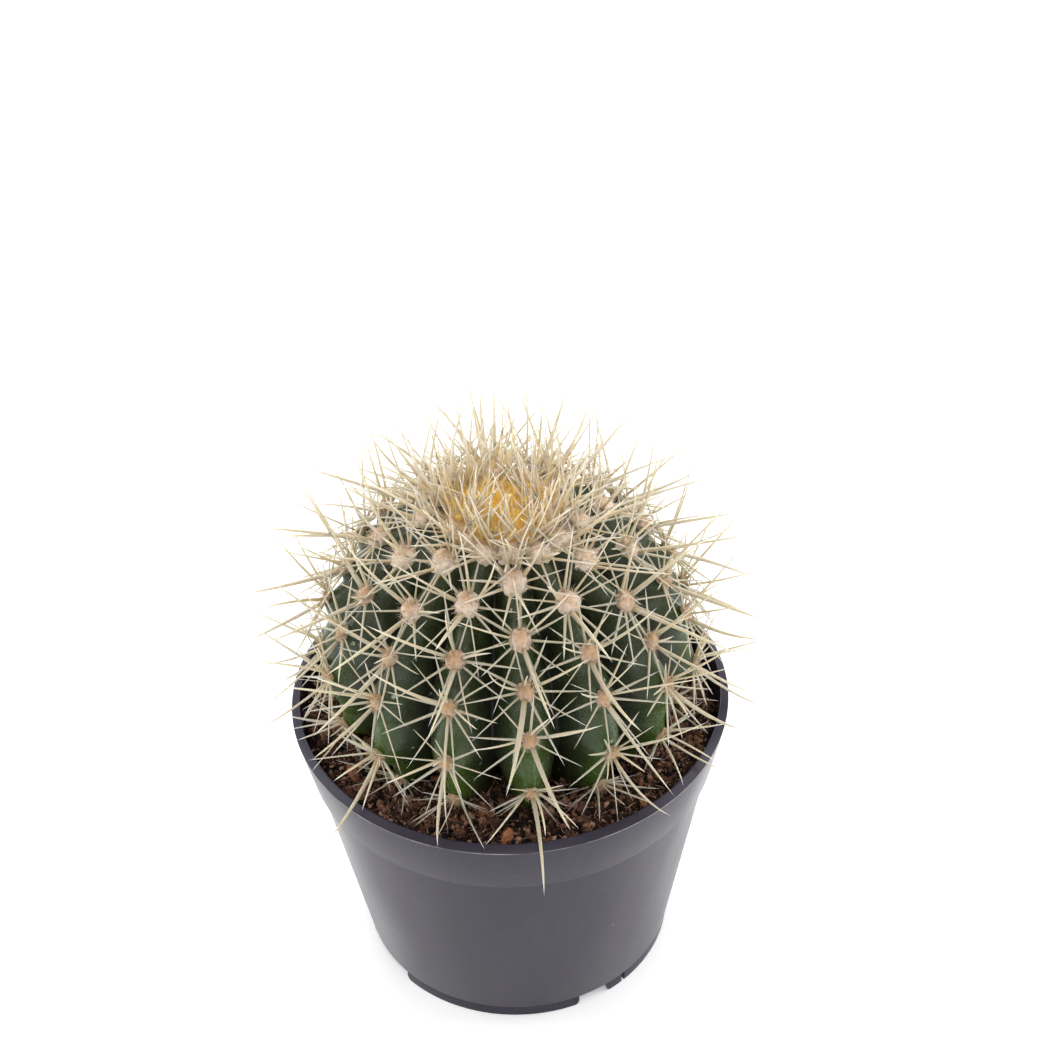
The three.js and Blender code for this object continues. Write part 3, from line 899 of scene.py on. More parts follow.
def make_crumbs(pot, soil, material):
    draw = random.Random(SOIL_SEED)
    spots = soil_spots(soil.crumbs, draw, pot, soil, CRUMB_MARGIN)
    size = drawn(soil.crumbs, lambda: 0.25 + 1.0 * draw.random() ** 3) * MM
    shape = drawn(soil.crumbs, lambda: [1.15, draw.uniform(0.4, 0.9), draw.uniform(0.3, 0.8)])
    spots[:, 2] += size * 0.25
    template = pebble(1)
    points = lumps(template, spots, size[:, None] * shape, draw, 0.3)
    tint = drawn(soil.crumbs, draw.random)
    piece = repeated("soil_crumbs", template, points, material, CRUMB_EDGE, tint=tint[:, None])
    declare(piece, "soil")


def make_chips(pot, soil, material):
    """Bark chips, one of which lies fresh at the front."""
    draw = random.Random(SOIL_SEED + 1)
    spots = soil_spots(soil.chips, draw, pot, soil, CHIP_MARGIN)
    x, y, _ = polar(*FRONT_CHIP, 0)
    spots[0] = x, y, soil_top(x, y, pot, soil)
    spots[:, 2] += CHIP_LIFT
    half = drawn(soil.chips, lambda: draw.uniform(1.2, 3.0)) * MM
    shape = drawn(soil.chips, lambda: [1, draw.uniform(0.4, 0.8), draw.uniform(0.2, 0.4)])
    template = pebble(2)
    points = lumps(template, spots, half[:, None] * shape, draw, 0.14)
    tint = drawn(soil.chips, draw.random)
    tint[0] = 1
    piece = repeated("bark_chips", template, points, material, tint=tint[:, None])
    declare(piece, "soil")


def make_fibres(pot, soil, material):
    draw = random.Random(SOIL_SEED + 2)
    count = soil.fibres
    spots = soil_spots(count, draw, pot, soil, FIBRE_MARGIN) - [0, 0, FIBRE_SINK]
    heading = np.radians(drawn(count, lambda: draw.uniform(0, 360)))
    rise = drawn(count, lambda: draw.uniform(-0.1, 0.5))
    aims = unit(np.stack([np.cos(heading), np.sin(heading), rise], axis=-1))
    bends = drawn(count, lambda: [draw.uniform(-1, 1), draw.uniform(-1, 1), draw.uniform(-0.9, 0.1)])
    lengths = drawn(count, lambda: 1.2 + 5.5 * draw.random() ** 2.5) * MM
    radii = drawn(count, lambda: draw.uniform(0.08, 0.19)) * MM
    template = needle(3, 3)
    points = blades(template, spots, aims, bends * FIBRE_BEND, lengths, radii, fullness=0.35)
    edge = soil_edge(pot, soil) - WALL_GAP
    keep = (np.hypot(points[..., 0], points[..., 1]) < edge).all(axis=1)
    tint = drawn(count, draw.random)[keep]
    piece = repeated("coir_fibres", template, points[keep], material, tint=tint[:, None])
    declare(piece, "soil")


def make_soil(pot, soil):
    crumbly = soil_finish(soil)
    make_soil_bed(pot, soil, crumbly)
    make_crumbs(pot, soil, crumbly)
    make_chips(pot, soil, bark_finish(soil))
    make_fibres(pot, soil, fibre_finish(soil))


# Blades, the bent tapering forms that spines, hairs and fibres share

FIXED_SIDE = np.array([0.31, 0.17, 0.93])


def blades(template, roots, aims, bends, lengths, radii, flatness=1, fullness=0.6, sides=FIXED_SIDE):
    """Copies of a needle, each set on its root along its aim, bent sideways and broad across its side."""
    form = coordinates(template.data)
    along = form[:, 2]
    taper = np.where(along < 1, np.clip(1 - along, 1e-6, 1) ** (fullness - 1), 1)
    across = unit(np.cross(aims, sides))
    thick = np.cross(aims, across)
    centre = along[None, :, None] * aims[:, None] + (along**2)[None, :, None] * bends[:, None]
    width = (form[:, 0] * taper)[None, :, None] * across[:, None]
    depth = (form[:, 1] * taper)[None, :, None] * thick[:, None] * flatness
    return roots[:, None] + centre * lengths[:, None, None] + (width + depth) * radii[:, None, None]


# Cactus body

CREST_STEPS = 4001
CREST_END = 0.2 * MM
SLOPE_STEP = 0.1 * MM
BODY_COLUMNS = 24
BODY_ROWS = 150
RIB_OPENING = 0.8
CHIN_DROP = 0.16
CHIN_LENGTH = 0.17
CHIN_WIDTH = 0.42
SKIN_GRAIN = 9 * MM
SKIN_UNEVENNESS = 0.35 * MM


class Crest:
    """The line of a rib's crest by distance from the middle of the crown."""

    def __init__(self, plant):
        angle = np.linspace(math.pi / 2, -math.pi / 2, CREST_STEPS)
        power = 2 / plant.shoulder
        sine = np.sin(angle)
        rise = np.where(sine > 0, plant.rise, -plant.depth) * np.abs(sine) ** power
        self.radius = plant.radius * np.clip(np.cos(angle), 0, 1) ** power
        dimple = smooth(plant.crown_radius * 1.5 - self.radius, 0, plant.crown_radius) * (sine > 0)
        self.height = plant.middle + rise - plant.crown_dimple * dimple
        steps = np.hypot(np.diff(self.radius), np.diff(self.height))
        self.distance = np.concatenate([[0], np.cumsum(steps)])
        self.length = self.distance[-1]

    def at(self, distance):
        """Radius and height, and the radius and height parts of the outward direction."""
        inside = np.clip(distance, CREST_END, self.length - CREST_END)
        radius, height = self.point(inside)
        (r0, z0), (r1, z1) = self.point(inside - SLOPE_STEP), self.point(inside + SLOPE_STEP)
        size = np.hypot(r1 - r0, z1 - z0)
        return radius, height, (z0 - z1) / size, (r1 - r0) / size

    def point(self, distance):
        radius = np.interp(distance, self.distance, self.radius)
        return radius, np.interp(distance, self.distance, self.height)


def rib_azimuth(rib, plant):
    return plant.first_rib + 360 / plant.ribs * rib - plant.rib_wobble * np.sin(2 * np.pi * rib / plant.ribs)


def areole_phase(rib, plant):
    return (plant.areole_phase - plant.areole_turn * rib) % 1


def areole_count(distance, plant):
    """Areoles counted down a crest, which stand closer together above the widest part."""
    from_crowd = (distance - plant.crowding_at) / plant.crowding_width
    return (distance + plant.crowding * np.exp(-(from_crowd**2))) / plant.areole_spacing


def areole_distance(count, plant):
    """Distance from the crown at which the count is reached."""
    distance = count * plant.areole_spacing
    for _ in range(20):
        distance += (count - areole_count(distance, plant)) * plant.areole_spacing
    return distance


def body_points(rib, across, distance, plant, crest):
    """Points of the skin. across runs from -1 to 1 between the valleys beside a rib."""
    radius, height, out_radius, out_height = crest.at(distance)
    opening = smooth(radius, plant.crown_radius * RIB_OPENING, plant.radius * RIB_OPENING)
    closing = np.minimum(1, radius / (plant.radius * RIB_OPENING))
    share = np.where(height > plant.middle, opening, closing)
    beyond = areole_count(distance, plant) - areole_phase(rib, plant)
    near = 0.5 + 0.5 * np.cos(2 * np.pi * beyond)
    aside = np.abs(across)
    sharpness = plant.rib_sharpness + 0.35 * near
    swell = plant.rib_swell * (near - 0.5) * (1 - aside) * share
    below = (beyond + 0.5) % 1 - 0.5 - CHIN_DROP
    chin = plant.chin * np.exp(-((below / CHIN_LENGTH) ** 2) - (across / CHIN_WIDTH) ** 2) * share
    move = swell + chin - plant.rib_depth * share * aside**sharpness
    azimuth = rib_azimuth(rib + across / 2, plant)
    return polar(radius + out_radius * move, azimuth, height + out_height * move)


def make_body(plant, crest):
    deselect()
    bpy.ops.mesh.primitive_uv_sphere_add(segments=plant.ribs * BODY_COLUMNS, ring_count=BODY_ROWS, radius=1)
    piece = bpy.context.object
    piece.name = piece.data.name = "cactus_body"
    ball = coordinates(piece.data)
    distance = np.arccos(np.clip(ball[:, 2], -1, 1)) / math.pi * crest.length
    turn = np.degrees(np.arctan2(ball[:, 0], -ball[:, 1])) / 360 * plant.ribs
    rib = np.round(turn)
    across = 2 * (turn - rib)
    points = body_points(rib, across, distance, plant, crest)
    uneven = np.array([noise.fractal(Vector(point) / SKIN_GRAIN, 0.8, 2.0, 3) for point in points])
    points += unit(points - [0, 0, plant.middle]) * (SKIN_UNEVENNESS * uneven)[:, None]
    set_coordinates(piece.data, points)
    down = -points[:, 2]
    paint(piece.data, "crest", 1 - np.abs(across) ** 1.3)
    paint(piece.data, "low", smooth(down, -(plant.middle + plant.rise), -(plant.middle - 0.5 * plant.depth)))
    finish_piece(piece, skin_finish(plant))
    declare(piece, "cactus")


# Areoles

AREOLE_TOP = 12 * MM
YOUNG_STEP = 8.5 * MM
YOUNG_TOP = 8.5 * MM
AREOLE_ABOVE_SOIL = 1.2 * MM
# Distances from the crown between which areoles are crowded, young, ageing and shrinking
CROWDED = (9 * MM, 20 * MM)
YOUTH = (14 * MM, 42 * MM)
AGEING = (14 * MM, 90 * MM)
SHRINKING = (18 * MM, 62 * MM)
AREOLE_HALF = 4.1 * MM
AREOLE_SHRINKAGE = 1.45 * MM
AREOLE_BULGE = 0.80
AREOLE_SAG = 0.24
FELT_SEED = 7
FELT_GRAIN = 2.1
FELT_WIDTH = 0.95
FELT_LENGTH = 1.05
FELT_CORE = 0.84
FELT_LUMPS = 0.28
HAIR_SEAT = 0.8
# Hairs on a cushion of the half width that follows
HAIRS = 150
HAIRS_HALF = 3.5 * MM
HAIR_RADIUS = (0.045 * MM, 0.08 * MM)


class Areole:
    """A place on a crest with its outward and downward directions."""

    def __init__(self, rib, distance, plant, crest):
        self.point = body_points(float(rib), 0.0, distance, plant, crest)
        _, _, out_radius, out_height = crest.at(distance)
        azimuth = rib_azimuth(rib, plant)
        self.out = unit(polar(out_radius, azimuth, out_height))
        self.down = unit(polar(out_height, azimuth, -out_radius))
        self.side = np.cross(self.out, self.down)
        self.age = float(smooth(distance, *AGEING))
        self.youth = float(1 - smooth(distance, *YOUTH))
        self.crowded = float(1 - smooth(distance, *CROWDED))
        shrunk = float(smooth(distance, *SHRINKING))
        self.half = AREOLE_HALF - AREOLE_SHRINKAGE * shrunk
        self.bulge = AREOLE_BULGE - AREOLE_SAG * shrunk

def areole_distances(rib, plant, crest):
    """Distances from the crown of a rib's areoles, the first one young and pressed against the wool."""
    counts = np.arange(areole_phase(rib, plant), crest.length / plant.areole_spacing + 1)
    distances = areole_distance(counts, plant)
    grown = distances[(distances > AREOLE_TOP) & (distances < crest.length)]
    young = grown[0] - YOUNG_STEP
    return [young, *grown] if young > YOUNG_TOP else grown


def areoles(pot, soil, plant, crest):
    """The areoles of every rib that stand clear of the soil."""
    found = []
    for rib in range(plant.ribs):
        for distance in areole_distances(rib, plant, crest):
            areole = Areole(rib, distance, plant, crest)
            x, y, z = areole.point
            if z > soil_level(x, y, pot, soil) + AREOLE_ABOVE_SOIL:
                found.append(areole)
    return found


def felt_core(side, down, out):
    """1 in the middle of a cushion and towards the crown, where its spines stand, and 0 around them."""
    return smooth(out - 0.4 * down - 0.3 * np.abs(side), 0.25, 1.15)


def make_cushions(places, material, draw):
    template = pebble(3)
    form = coordinates(template.data)
    cushions = []
    for place in places:
        start = Vector(place.point) / MM
        lump = np.array([noise.fractal(Vector(point) * FELT_GRAIN + start, 0.8, 2.0, 2) for point in form])
        rough = (1 + FELT_LUMPS * lump + drawn(len(form), lambda: draw.uniform(-0.06, 0.06)))[:, None]
        basis = np.stack([place.side * FELT_WIDTH, place.down * FELT_LENGTH, place.out * place.bulge])
        cushions.append(place.point + (form * rough) @ basis * place.half * FELT_CORE)
    ages = np.array([place.age for place in places])
    values = {"age": ages[:, None], "core": felt_core(*form.T)[None], "tint": 0.0}
    piece = repeated("areole_cushions", template, np.array(cushions), material, **values)
    declare(piece, "cactus")


def make_areole_hair(places, material, draw):
    roots, aims, bends, lengths, radii, ages, cores, tints = [], [], [], [], [], [], [], []
    for place in places:
        for _ in range(int(HAIRS * (place.half / HAIRS_HALF) ** 1.5)):
            turn = draw.uniform(0, 2 * math.pi)
            spread = draw.random() ** 0.4
            side, down = spread * math.cos(turn), spread * math.sin(turn)
            out = math.sqrt(1 - spread**2 * 0.9)
            flat = place.side * side * FELT_WIDTH + place.down * down * FELT_LENGTH
            roots.append(place.point + (flat + place.out * place.bulge * out) * place.half * HAIR_SEAT)
            aims.append(flat * 0.9 + place.out * 0.7 + scatter(draw, 0.4))
            bends.append(scatter(draw, 0.45))
            lengths.append(draw.uniform(0.6, 1.6) * place.half / 3)
            radii.append(draw.uniform(*HAIR_RADIUS))
            ages.append(place.age)
            cores.append(felt_core(side, down, out))
            tints.append(draw.random())
    roots, aims, bends, lengths, radii = map(np.array, (roots, aims, bends, lengths, radii))
    age, core, tint = (np.array(values)[:, None] for values in (ages, cores, tints))
    template = needle(3, 1)
    points = blades(template, roots, unit(aims), bends, lengths, radii)
    piece = repeated("areole_hair", template, points, material, age=age, core=core, tint=tint)
    declare(piece, "cactus")


def make_felt(places, plant):
    """Felt cushions with short matted hair."""
    draw = random.Random(FELT_SEED)
    material = felt_finish(plant)
    make_cushions(places, material, draw)
    make_areole_hair(places, material, draw)


# Spines

SPINE_SEED = 13
SPINE_SIDES = 6
SPINE_CUTS = 5
SPINE_FLATNESS = 0.62
SPINE_FULLNESS = 0.54
SPINE_SINK = 1.2 * MM
SPINE_REACH = 70.6 * MM
SPINE_TOP_GAP = 0.4 * MM
SOIL_CLEARANCE = 2.2 * MM
RIM_CLEARANCE = 0.9 * MM
YOUTH_SHOWN = 0.72
# Shares of size and width near the soil, and the heights above it between which spines grow to full size
LOW_SIZE = 0.56
LOW_WIDTH = 0.4
LOW_HEIGHTS = (2 * MM, 26 * MM)
ROOT_OUT = 0.55
# Angles in degrees, and spreads as the least and the most
RADIAL_TURN = (-11, 11)
RADIAL_LIFT = 15
RADIAL_SWAY = (-8, 10)
RADIAL_REACH = (0.82, 1.18)
RADIAL_WIDTH = (0.85, 1.15)
RADIAL_CURVE = 0.06
CENTRAL_TURN = (-16, 16)
CENTRAL_SWAY = (-9, 9)
CENTRAL_REACH = (0.86, 1.12)
CENTRAL_WIDTH = (0.9, 1.1)
CENTRAL_CURVE = 0.20
# Turn from downwards and lift off the skin, in degrees, and shares of length and width
CENTRALS = ((0, 40, 1.0, 1.0), (180, 62, 0.78, 0.68), (112, 52, 0.8, 0.72), (-112, 52, 0.8, 0.72))


class Spine:
    """A spine from its root along its aim, bent sideways by its own share of the length."""

    def __init__(self, root, aim, bend, length, radius, youth, draw):
        self.root = root
        self.aim = unit(aim)
        self.bend = bend
        self.length = length
        self.radius = radius
        self.youth = youth
        self.tint = draw.random()
        self.side = scatter(draw, 1)

    def at(self, part):
        return self.root + (self.aim * part + self.bend * part**2) * self.length

    def strikes(self, pot, soil):
        """Whether the spine comes too close to the soil or the rim."""
        for part in np.linspace(0.15, 1, 12):
            x, y, z = self.at(part)
            out = math.hypot(x, y)
            ground = soil_level(x, y, pot, soil) + SOIL_CLEARANCE
            if out > rim_radius() - pot.lip_width - 2 * RIM_CLEARANCE:
                ground = POT_BOX[1].z + RIM_CLEARANCE
            if out < rim_radius() + 2 * RIM_CLEARANCE and z < ground:
                return True
        return False

    def clear(self, pot, soil):
        """Lifts the spine off the soil and the rim, and shortens it to the plant's reach and height."""
        while self.strikes(pot, soil):
            self.aim = unit(self.aim + [0, 0, 0.04])
        while not self.within_reach():
            self.length -= 0.25 * MM
        return self

    def within_reach(self):
        low, high = CAD_BOX
        x, y, z = self.at(1)
        return math.hypot(x, y) < SPINE_REACH and z < high.z - SPINE_TOP_GAP and low.x < x < high.x


def radial_shapes(place, spines, draw):
    """Turn, lift, length, radius and curve of the flat spines all round an areole."""
    count = spines.radials + draw.randint(0, 2) - round(2 * place.crowded)
    width = spines.radial_radius * (1 + 0.12 * place.youth)
    shapes = []
    for i in range(count):
        turn = 360 / count * (i + 0.5) + draw.uniform(*RADIAL_TURN)
        back = 0.5 - 0.5 * math.cos(math.radians(turn))
        lift = RADIAL_LIFT + draw.uniform(*RADIAL_SWAY) + place.youth * (12 + 36 * back)
        reach = spines.radial_length * draw.uniform(*RADIAL_REACH) * (1 - 0.14 * back)
        shapes.append((turn, lift, reach, width * draw.uniform(*RADIAL_WIDTH), RADIAL_CURVE))
    return shapes


def central_shapes(place, spines, draw):
    """The same of the stouter spines that stand out from an areole's middle."""
    stout = spines.central_radius * (1 - 0.1 * place.youth)
    shapes = []
    for turn, lift, share, thickness in CENTRALS[:4 - round(place.crowded)]:
        shapes.append((
            turn + draw.uniform(*CENTRAL_TURN),
            lift + draw.uniform(*CENTRAL_SWAY) + 12 * place.youth,
            spines.central_length * share * draw.uniform(*CENTRAL_REACH) * (1 - 0.2 * place.youth),
            stout * thickness * draw.uniform(*CENTRAL_WIDTH),
            CENTRAL_CURVE,
        ))
    return shapes


def areole_spines(place, pot, soil, spines, draw):
    """An areole's radial and central spines, smaller near the soil."""
    height = place.point[2] - soil_level(place.point[0], place.point[1], pot, soil)
    size = LOW_SIZE + (1 - LOW_SIZE) * float(smooth(height, *LOW_HEIGHTS))
    made = []
    shapes = radial_shapes(place, spines, draw) + central_shapes(place, spines, draw)
    for turn, lift, reach, radius, curve in shapes:
        angle, rise = math.radians(turn), math.radians(lift)
        flat = place.down * math.cos(angle) + place.side * math.sin(angle)
        aim = flat * math.cos(rise) + place.out * math.sin(rise)
        bend = np.array([draw.gauss(0, 0.4), draw.gauss(0, 0.4), draw.gauss(0.25, 0.5)]) * curve
        root = place.point + flat * place.half * ROOT_OUT - aim * SPINE_SINK
        width = radius * (LOW_WIDTH + (1 - LOW_WIDTH) * size)
        spine = Spine(root, aim, bend, reach * size + SPINE_SINK, width, place.youth * YOUTH_SHOWN, draw)
        made.append(spine.clear(pot, soil))
    return made


def make_spine_piece(name, spines, node, material):
    template = needle(SPINE_SIDES, SPINE_CUTS)
    along = coordinates(template.data)[:, 2]
    keys = ("root", "aim", "bend", "length", "radius", "side", "tint", "youth")
    root, aim, bend, reach, radius, side, tint, youth = (
        np.array([getattr(spine, key) for spine in spines]) for key in keys
    )
    points = blades(template, root, aim, bend, reach, radius, SPINE_FLATNESS, SPINE_FULLNESS, side)
    values = {"along": along[None], "tint": tint[:, None], "youth": youth[:, None]}
    declare(repeated(name, template, points, material, **values), node)


def make_spines(places, pot, soil, spines, material):
    draw = random.Random(SPINE_SEED)
    every = [spine for place in places for spine in areole_spines(place, pot, soil, spines, draw)]
    make_spine_piece("body_spines", every, "cactus", material)


# Crown

CROWN_SEED = 19
GOLDEN_ANGLE = 137.508
WOOL_RADIUS = 14.8 * MM
WOOL_RISE = 4.2 * MM
WOOL_SINK = 0.8 * MM
WOOL_BASE = 1.5 * MM
WOOL_EDGE = 1 * MM
WOOL_RINGS = 26
WOOL_STEPS = 96
WOOL_GRAIN = 2.2 * MM
WOOL_UNEVENNESS = 0.6 * MM
WOOL_HAIRS = 8000
HAIR_SINK = 0.6 * MM
HAIR_LENGTH = (1.2 * MM, 2.8 * MM)
WOOL_TUFTS = 30
TUFT_RISE = 1.9 * MM
TUFT_WIDTH = 1.7 * MM
# Power that sets the spines closer together towards the edge of the wool
CROWN_PACKING = 0.30
CROWN_LEAN = 42
CROWN_SWAY = (-22, 16)
CROWN_TURN = (-45, 45)
CROWN_CURL = -0.10
CROWN_REACH = (0.55, 1.08)
CROWN_WIDTH = (0.75, 1.4)


def tuft_places():
    """Middles of the tufts in the wool, one for each areole still to open, in a spiral."""
    place = np.arange(WOOL_TUFTS)
    return polar(WOOL_RADIUS * 0.94 * np.sqrt((place + 0.5) / WOOL_TUFTS), GOLDEN_ANGLE * place, 0)[:, :2]


def tuft(points):
    """1 in the middle of a tuft of wool and 0 between the tufts."""
    apart = np.linalg.norm(points[:, None, :2] - tuft_places()[None], axis=-1).min(axis=1)
    return np.exp(-((apart / TUFT_WIDTH) ** 2))


def wool_height(radius, crest):
    """Height of the wool between its tufts at a distance from the middle of the crown."""
    _, seat = crest.point(np.asarray(radius))
    return seat + WOOL_RISE * np.sqrt(np.clip(1 - (radius / WOOL_RADIUS) ** 2, 0, 1)) - WOOL_SINK


def make_wool_bed(crest, material):
    outline = [(radius, crest.point(radius)[1] - WOOL_BASE) for radius in (0, WOOL_RADIUS)]
    for i in range(WOOL_RINGS, -1, -1):
        radius = WOOL_RADIUS * i / WOOL_RINGS
        outline.append((radius, float(wool_height(radius, crest))))
    piece = turned("crown_wool", outline, WOOL_STEPS)
    points = coordinates(piece.data)
    uneven = np.array([noise.fractal(Vector(point) / WOOL_GRAIN, 0.7, 2.0, 4) for point in points])
    out = np.hypot(points[:, 0], points[:, 1])
    top = points[:, 2] > crest.point(out)[1] - WOOL_EDGE
    points[:, 2] += top * (WOOL_UNEVENNESS * uneven + TUFT_RISE * tuft(points))
    set_coordinates(piece.data, points)
    paint(piece.data, "along", np.zeros(len(points)))
    paint(piece.data, "tuft", tuft(points))
    paint(piece.data, "out", out / WOOL_RADIUS)
    finish_piece(piece, material)
    declare(piece, "crown")


def make_wool_hair(crest, material, draw):
    radius = WOOL_RADIUS * np.sqrt(drawn(WOOL_HAIRS, draw.random))
    azimuth = drawn(WOOL_HAIRS, lambda: draw.uniform(0, 360))
    roots = polar(radius, azimuth, wool_height(radius, crest) - HAIR_SINK)
    tufted = tuft(roots)
    roots[:, 2] += TUFT_RISE * tufted
    jitter = drawn(WOOL_HAIRS, lambda: scatter(draw, 0.45))
    out = radius / WOOL_RADIUS
    aims = unit(polar(out * 0.6, azimuth, 1.0) + jitter)
    bends = drawn(WOOL_HAIRS, lambda: scatter(draw, 0.45))
    lengths = drawn(WOOL_HAIRS, lambda: draw.uniform(*HAIR_LENGTH))
    radii = drawn(WOOL_HAIRS, lambda: draw.uniform(*HAIR_RADIUS))
    template = needle(3, 2)
    along = 0.2 + 0.8 * coordinates(template.data)[:, 2]
    points = blades(template, roots, aims, bends, lengths, radii)
    values = {"along": along[None], "tuft": tufted[:, None], "out": out[:, None]}
    declare(repeated("crown_hair", template, points, material, **values), "crown")


def make_wool(plant, crest):
    """Tufted wool over the crown, with short hair all over it."""
    material = wool_finish(plant)
    make_wool_bed(crest, material)
    make_wool_hair(crest, material, random.Random(CROWN_SEED))


def make_crown_spines(pot, soil, crest, spines, material):
    """Young spines in a spiral, taller and leaning further out towards the edge of the wool."""
    draw = random.Random(CROWN_SEED + 1)
    made = []
    for i in range(spines.crown_count):
        part = ((i + 0.5) / spines.crown_count) ** CROWN_PACKING
        azimuth = GOLDEN_ANGLE * i
        radius = WOOL_RADIUS * part
        root = polar(radius, azimuth, crest.point(radius)[1])
        lean = math.radians(CROWN_LEAN * part**2 + draw.uniform(*CROWN_SWAY))
        aim = polar(math.sin(lean), azimuth + draw.uniform(*CROWN_TURN), math.cos(lean))
        bend = polar(CROWN_CURL, azimuth, 0.0) + scatter(draw, 0.09)
        reach = spines.crown_length * draw.uniform(*CROWN_REACH) * (0.38 + 0.66 * part**2)
        width = spines.crown_spine_radius * draw.uniform(*CROWN_WIDTH)
        youth = 1 - 0.3 * float(smooth(part, 0.8, 1))
        made.append(Spine(root, aim, bend, reach, width, youth, draw).clear(pot, soil))
    make_spine_piece("crown_spines", made, "crown", material)


# Stage

PHOTO_WIDTH = 1050
FOCAL_PIXELS = 2500
SENSOR = 36
CAMERA_DISTANCE = 688.8 * MM
CAMERA_ELEVATION = math.radians(43.71)
CAMERA_ROLL = math.radians(-2.56)
RIM_MIDDLE_PIXEL = (502.5, 691.2)
FLOOR_SIZE = 6
LIGHT_TARGET = (0, 0, 100 * MM)
# Name, place, size and power
LIGHTS = (
    ("key", (-0.4, -0.95, 1.25), (0.7, 0.7), 1.0),
    ("fill", (0.8, -0.85, 1.05), (0.8, 0.9), 0.8),
    ("left", (-1.3, 0.3, 0.8), (0.8, 1.2), 7.2),
    ("right", (1.3, 0.2, 0.8), (0.8, 1.2), 7.2),
    ("back", (0, 1.2, 1.1), (1.4, 0.8), 8.0),
    ("top", (0.1, 0.3, 1.5), (0.9, 0.9), 4.4),
    ("sparkle", (0.15, -0.9, 1.3), (0.14, 0.14), 1.4),
)


def turn_pair(first, second, angle):
    """Two square directions turned together in their own plane."""
    return (
        first * math.cos(angle) + second * math.sin(angle),
        second * math.cos(angle) - first * math.sin(angle),
    )


def add_camera(pot):
    """The camera looks past the rim's middle, which falls on its own pixel of the picture."""
    middle = PHOTO_WIDTH / 2
    aside = math.atan((RIM_MIDDLE_PIXEL[0] - middle) / FOCAL_PIXELS)
    below = math.atan((RIM_MIDDLE_PIXEL[1] - middle) / FOCAL_PIXELS)
    right = Vector((1, 0, 0))
    ahead = Vector((0, math.cos(CAMERA_ELEVATION), -math.sin(CAMERA_ELEVATION)))
    up = Vector((0, math.sin(CAMERA_ELEVATION), math.cos(CAMERA_ELEVATION)))
    place = Vector((0, 0, rim_height(pot))) - ahead * CAMERA_DISTANCE
    right, ahead = turn_pair(right, ahead, aside)
    up, ahead = turn_pair(up, ahead, -below)
    ahead, up = ahead.copy(), up.copy()
    right, up = turn_pair(right, up, CAMERA_ROLL)
    deselect()
    bpy.ops.object.camera_add(location=place)
    camera = bpy.context.object
    turn = Matrix((right, up, -ahead)).transposed().to_4x4()
    camera.matrix_world = Matrix.Translation(place) @ turn
    camera.data.sensor_width = SENSOR
    camera.data.lens = SENSOR * FOCAL_PIXELS / PHOTO_WIDTH
    camera.data.clip_start = 10 * MM
    bpy.context.scene.camera = camera


def add_softbox(name, place, size, power):
    deselect()
    bpy.ops.object.light_add(type="AREA", location=place)
    lamp = bpy.context.object
    lamp.name = name
    lamp.data.shape = "RECTANGLE"
    lamp.data.size, lamp.data.size_y = size
    lamp.data.energy = power
    lamp.rotation_euler = (Vector(LIGHT_TARGET) - Vector(place)).to_track_quat("-Z", "Y").to_euler()


def add_floor():
    deselect()
    bpy.ops.mesh.primitive_plane_add(size=FLOOR_SIZE, location=(0, 0, 0))
    floor = bpy.context.object
    floor.name = "studio_floor"
    floor.data.materials.append(floor_finish())


def make_stage(pot):
    add_floor()
    add_camera(pot)
    for light in LIGHTS:
        add_softbox(*light)
    world = bpy.data.worlds.new("pale studio")
    bpy.context.scene.world = world
    world.use_nodes = True
    world.node_tree.nodes["Background"].inputs["Color"].default_value = (1, 0.99, 1, 1)
    world.node_tree.nodes["Background"].inputs["Strength"].default_value = 0.90
    bpy.context.scene.view_settings.view_transform = "Standard"


# Operators


class CACTUS_OT_pot(bpy.types.Operator):
    """Turn and cut the nursery pot"""

    bl_idname = "potted_cactus.pot"
    bl_label = "Pot"

    def execute(self, context):
        make_pot(context.scene.cactus_pot)
        return {"FINISHED"}


class CACTUS_OT_soil(bpy.types.Operator):
    """Fill the pot with soil, crumbs, bark chips and fibres"""

    bl_idname = "potted_cactus.soil"
    bl_label = "Soil"

    def execute(self, context):
        make_soil(context.scene.cactus_pot, context.scene.cactus_soil)
        return {"FINISHED"}


class CACTUS_OT_body(bpy.types.Operator):
    """Shape the ribbed body"""

    bl_idname = "potted_cactus.body"
    bl_label = "Body"

    def execute(self, context):
        plant = context.scene.cactus_plant
        make_body(plant, Crest(plant))
        return {"FINISHED"}


class CACTUS_OT_areoles(bpy.types.Operator):
    """Set the felt cushions along the ribs"""

    bl_idname = "potted_cactus.areoles"
    bl_label = "Areoles"

    def execute(self, context):
        scene = context.scene
        plant = scene.cactus_plant
        make_felt(areoles(scene.cactus_pot, scene.cactus_soil, plant, Crest(plant)), plant)
        return {"FINISHED"}


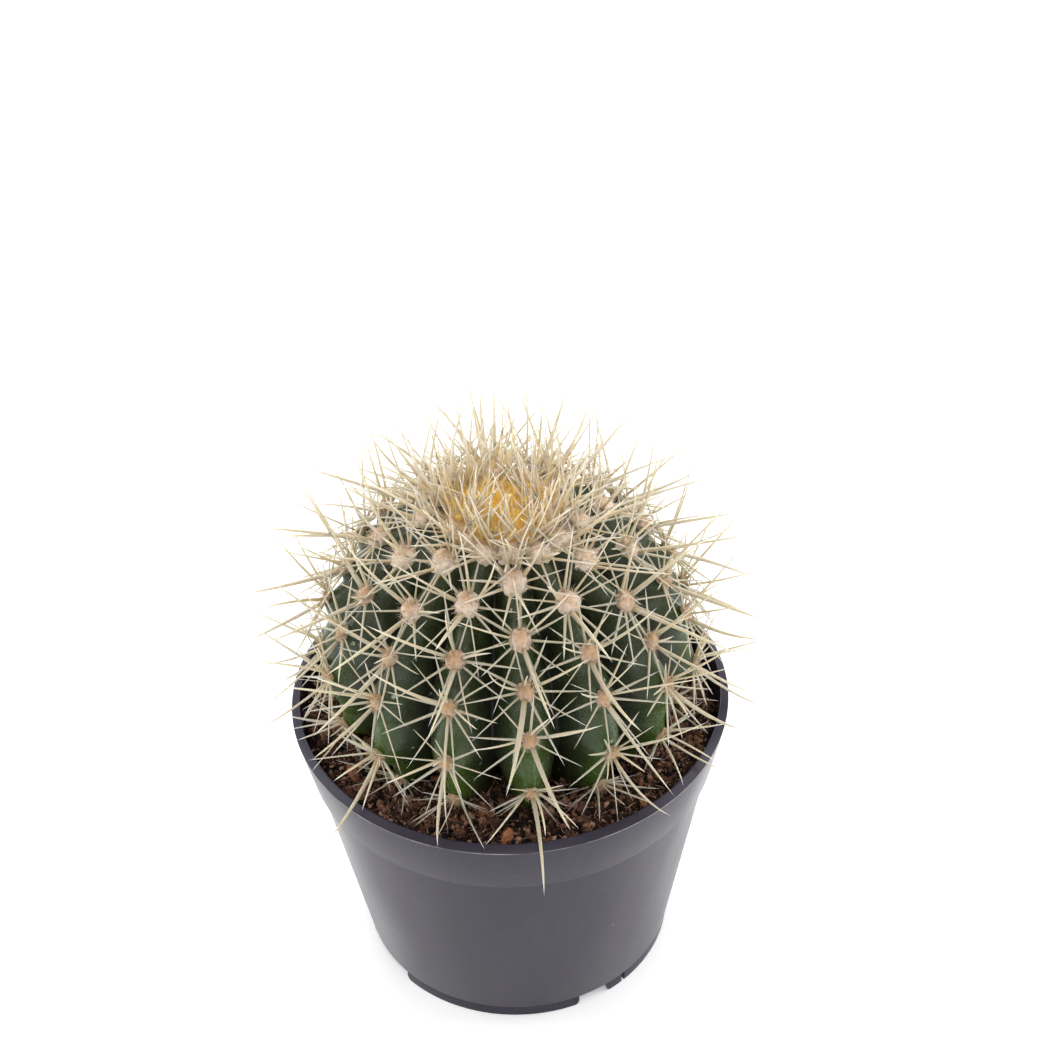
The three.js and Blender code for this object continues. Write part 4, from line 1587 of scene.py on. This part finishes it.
class CACTUS_OT_spines(bpy.types.Operator):
    """Grow the spines of the body and the crown"""

    bl_idname = "potted_cactus.spines"
    bl_label = "Spines"

    def execute(self, context):
        scene = context.scene
        pot, soil = scene.cactus_pot, scene.cactus_soil
        plant, spines = scene.cactus_plant, scene.cactus_spines
        crest = Crest(plant)
        material = spine_finish(spines)
        make_spines(areoles(pot, soil, plant, crest), pot, soil, spines, material)
        make_crown_spines(pot, soil, crest, spines, material)
        return {"FINISHED"}


class CACTUS_OT_crown(bpy.types.Operator):
    """Cover the crown with wool"""

    bl_idname = "potted_cactus.crown"
    bl_label = "Crown wool"

    def execute(self, context):
        plant = context.scene.cactus_plant
        make_wool(plant, Crest(plant))
        return {"FINISHED"}


class CACTUS_OT_stage(bpy.types.Operator):
    """Set the floor, the lights and the camera"""

    bl_idname = "potted_cactus.stage"
    bl_label = "Stage"

    def execute(self, context):
        make_stage(context.scene.cactus_pot)
        return {"FINISHED"}


STEPS = (
    CACTUS_OT_pot, CACTUS_OT_soil, CACTUS_OT_body, CACTUS_OT_areoles,
    CACTUS_OT_spines, CACTUS_OT_crown, CACTUS_OT_stage,
)


class CACTUS_PT_panel(bpy.types.Panel):
    """Steps and sizes of the potted cactus"""

    bl_idname = "CACTUS_PT_panel"
    bl_label = "Potted cactus"
    bl_space_type = "VIEW_3D"
    bl_region_type = "UI"
    bl_category = "Cactus"

    def draw(self, context):
        layout = self.layout
        for step in STEPS:
            layout.operator(step.bl_idname)
        for group in SETTINGS:
            settings = getattr(context.scene, group)
            for name in settings.bl_rna.properties.keys():
                if name not in ("rna_type", "name"):
                    layout.prop(settings, name)


SETTINGS = {
    "cactus_pot": PotSettings,
    "cactus_soil": SoilSettings,
    "cactus_plant": PlantSettings,
    "cactus_spines": SpineSettings,
}
CLASSES = (*SETTINGS.values(), *STEPS, CACTUS_PT_panel)


def register():
    for cls in CLASSES:
        bpy.utils.register_class(cls)
    for name, group in SETTINGS.items():
        setattr(bpy.types.Scene, name, PointerProperty(type=group))


def unregister():
    for name in SETTINGS:
        delattr(bpy.types.Scene, name)
    for cls in reversed(CLASSES):
        bpy.utils.unregister_class(cls)


def main():
    register()
    for step in STEPS:
        group, name = step.bl_idname.split(".")
        getattr(getattr(bpy.ops, group), name)()


if __name__ == "__main__":
    main()
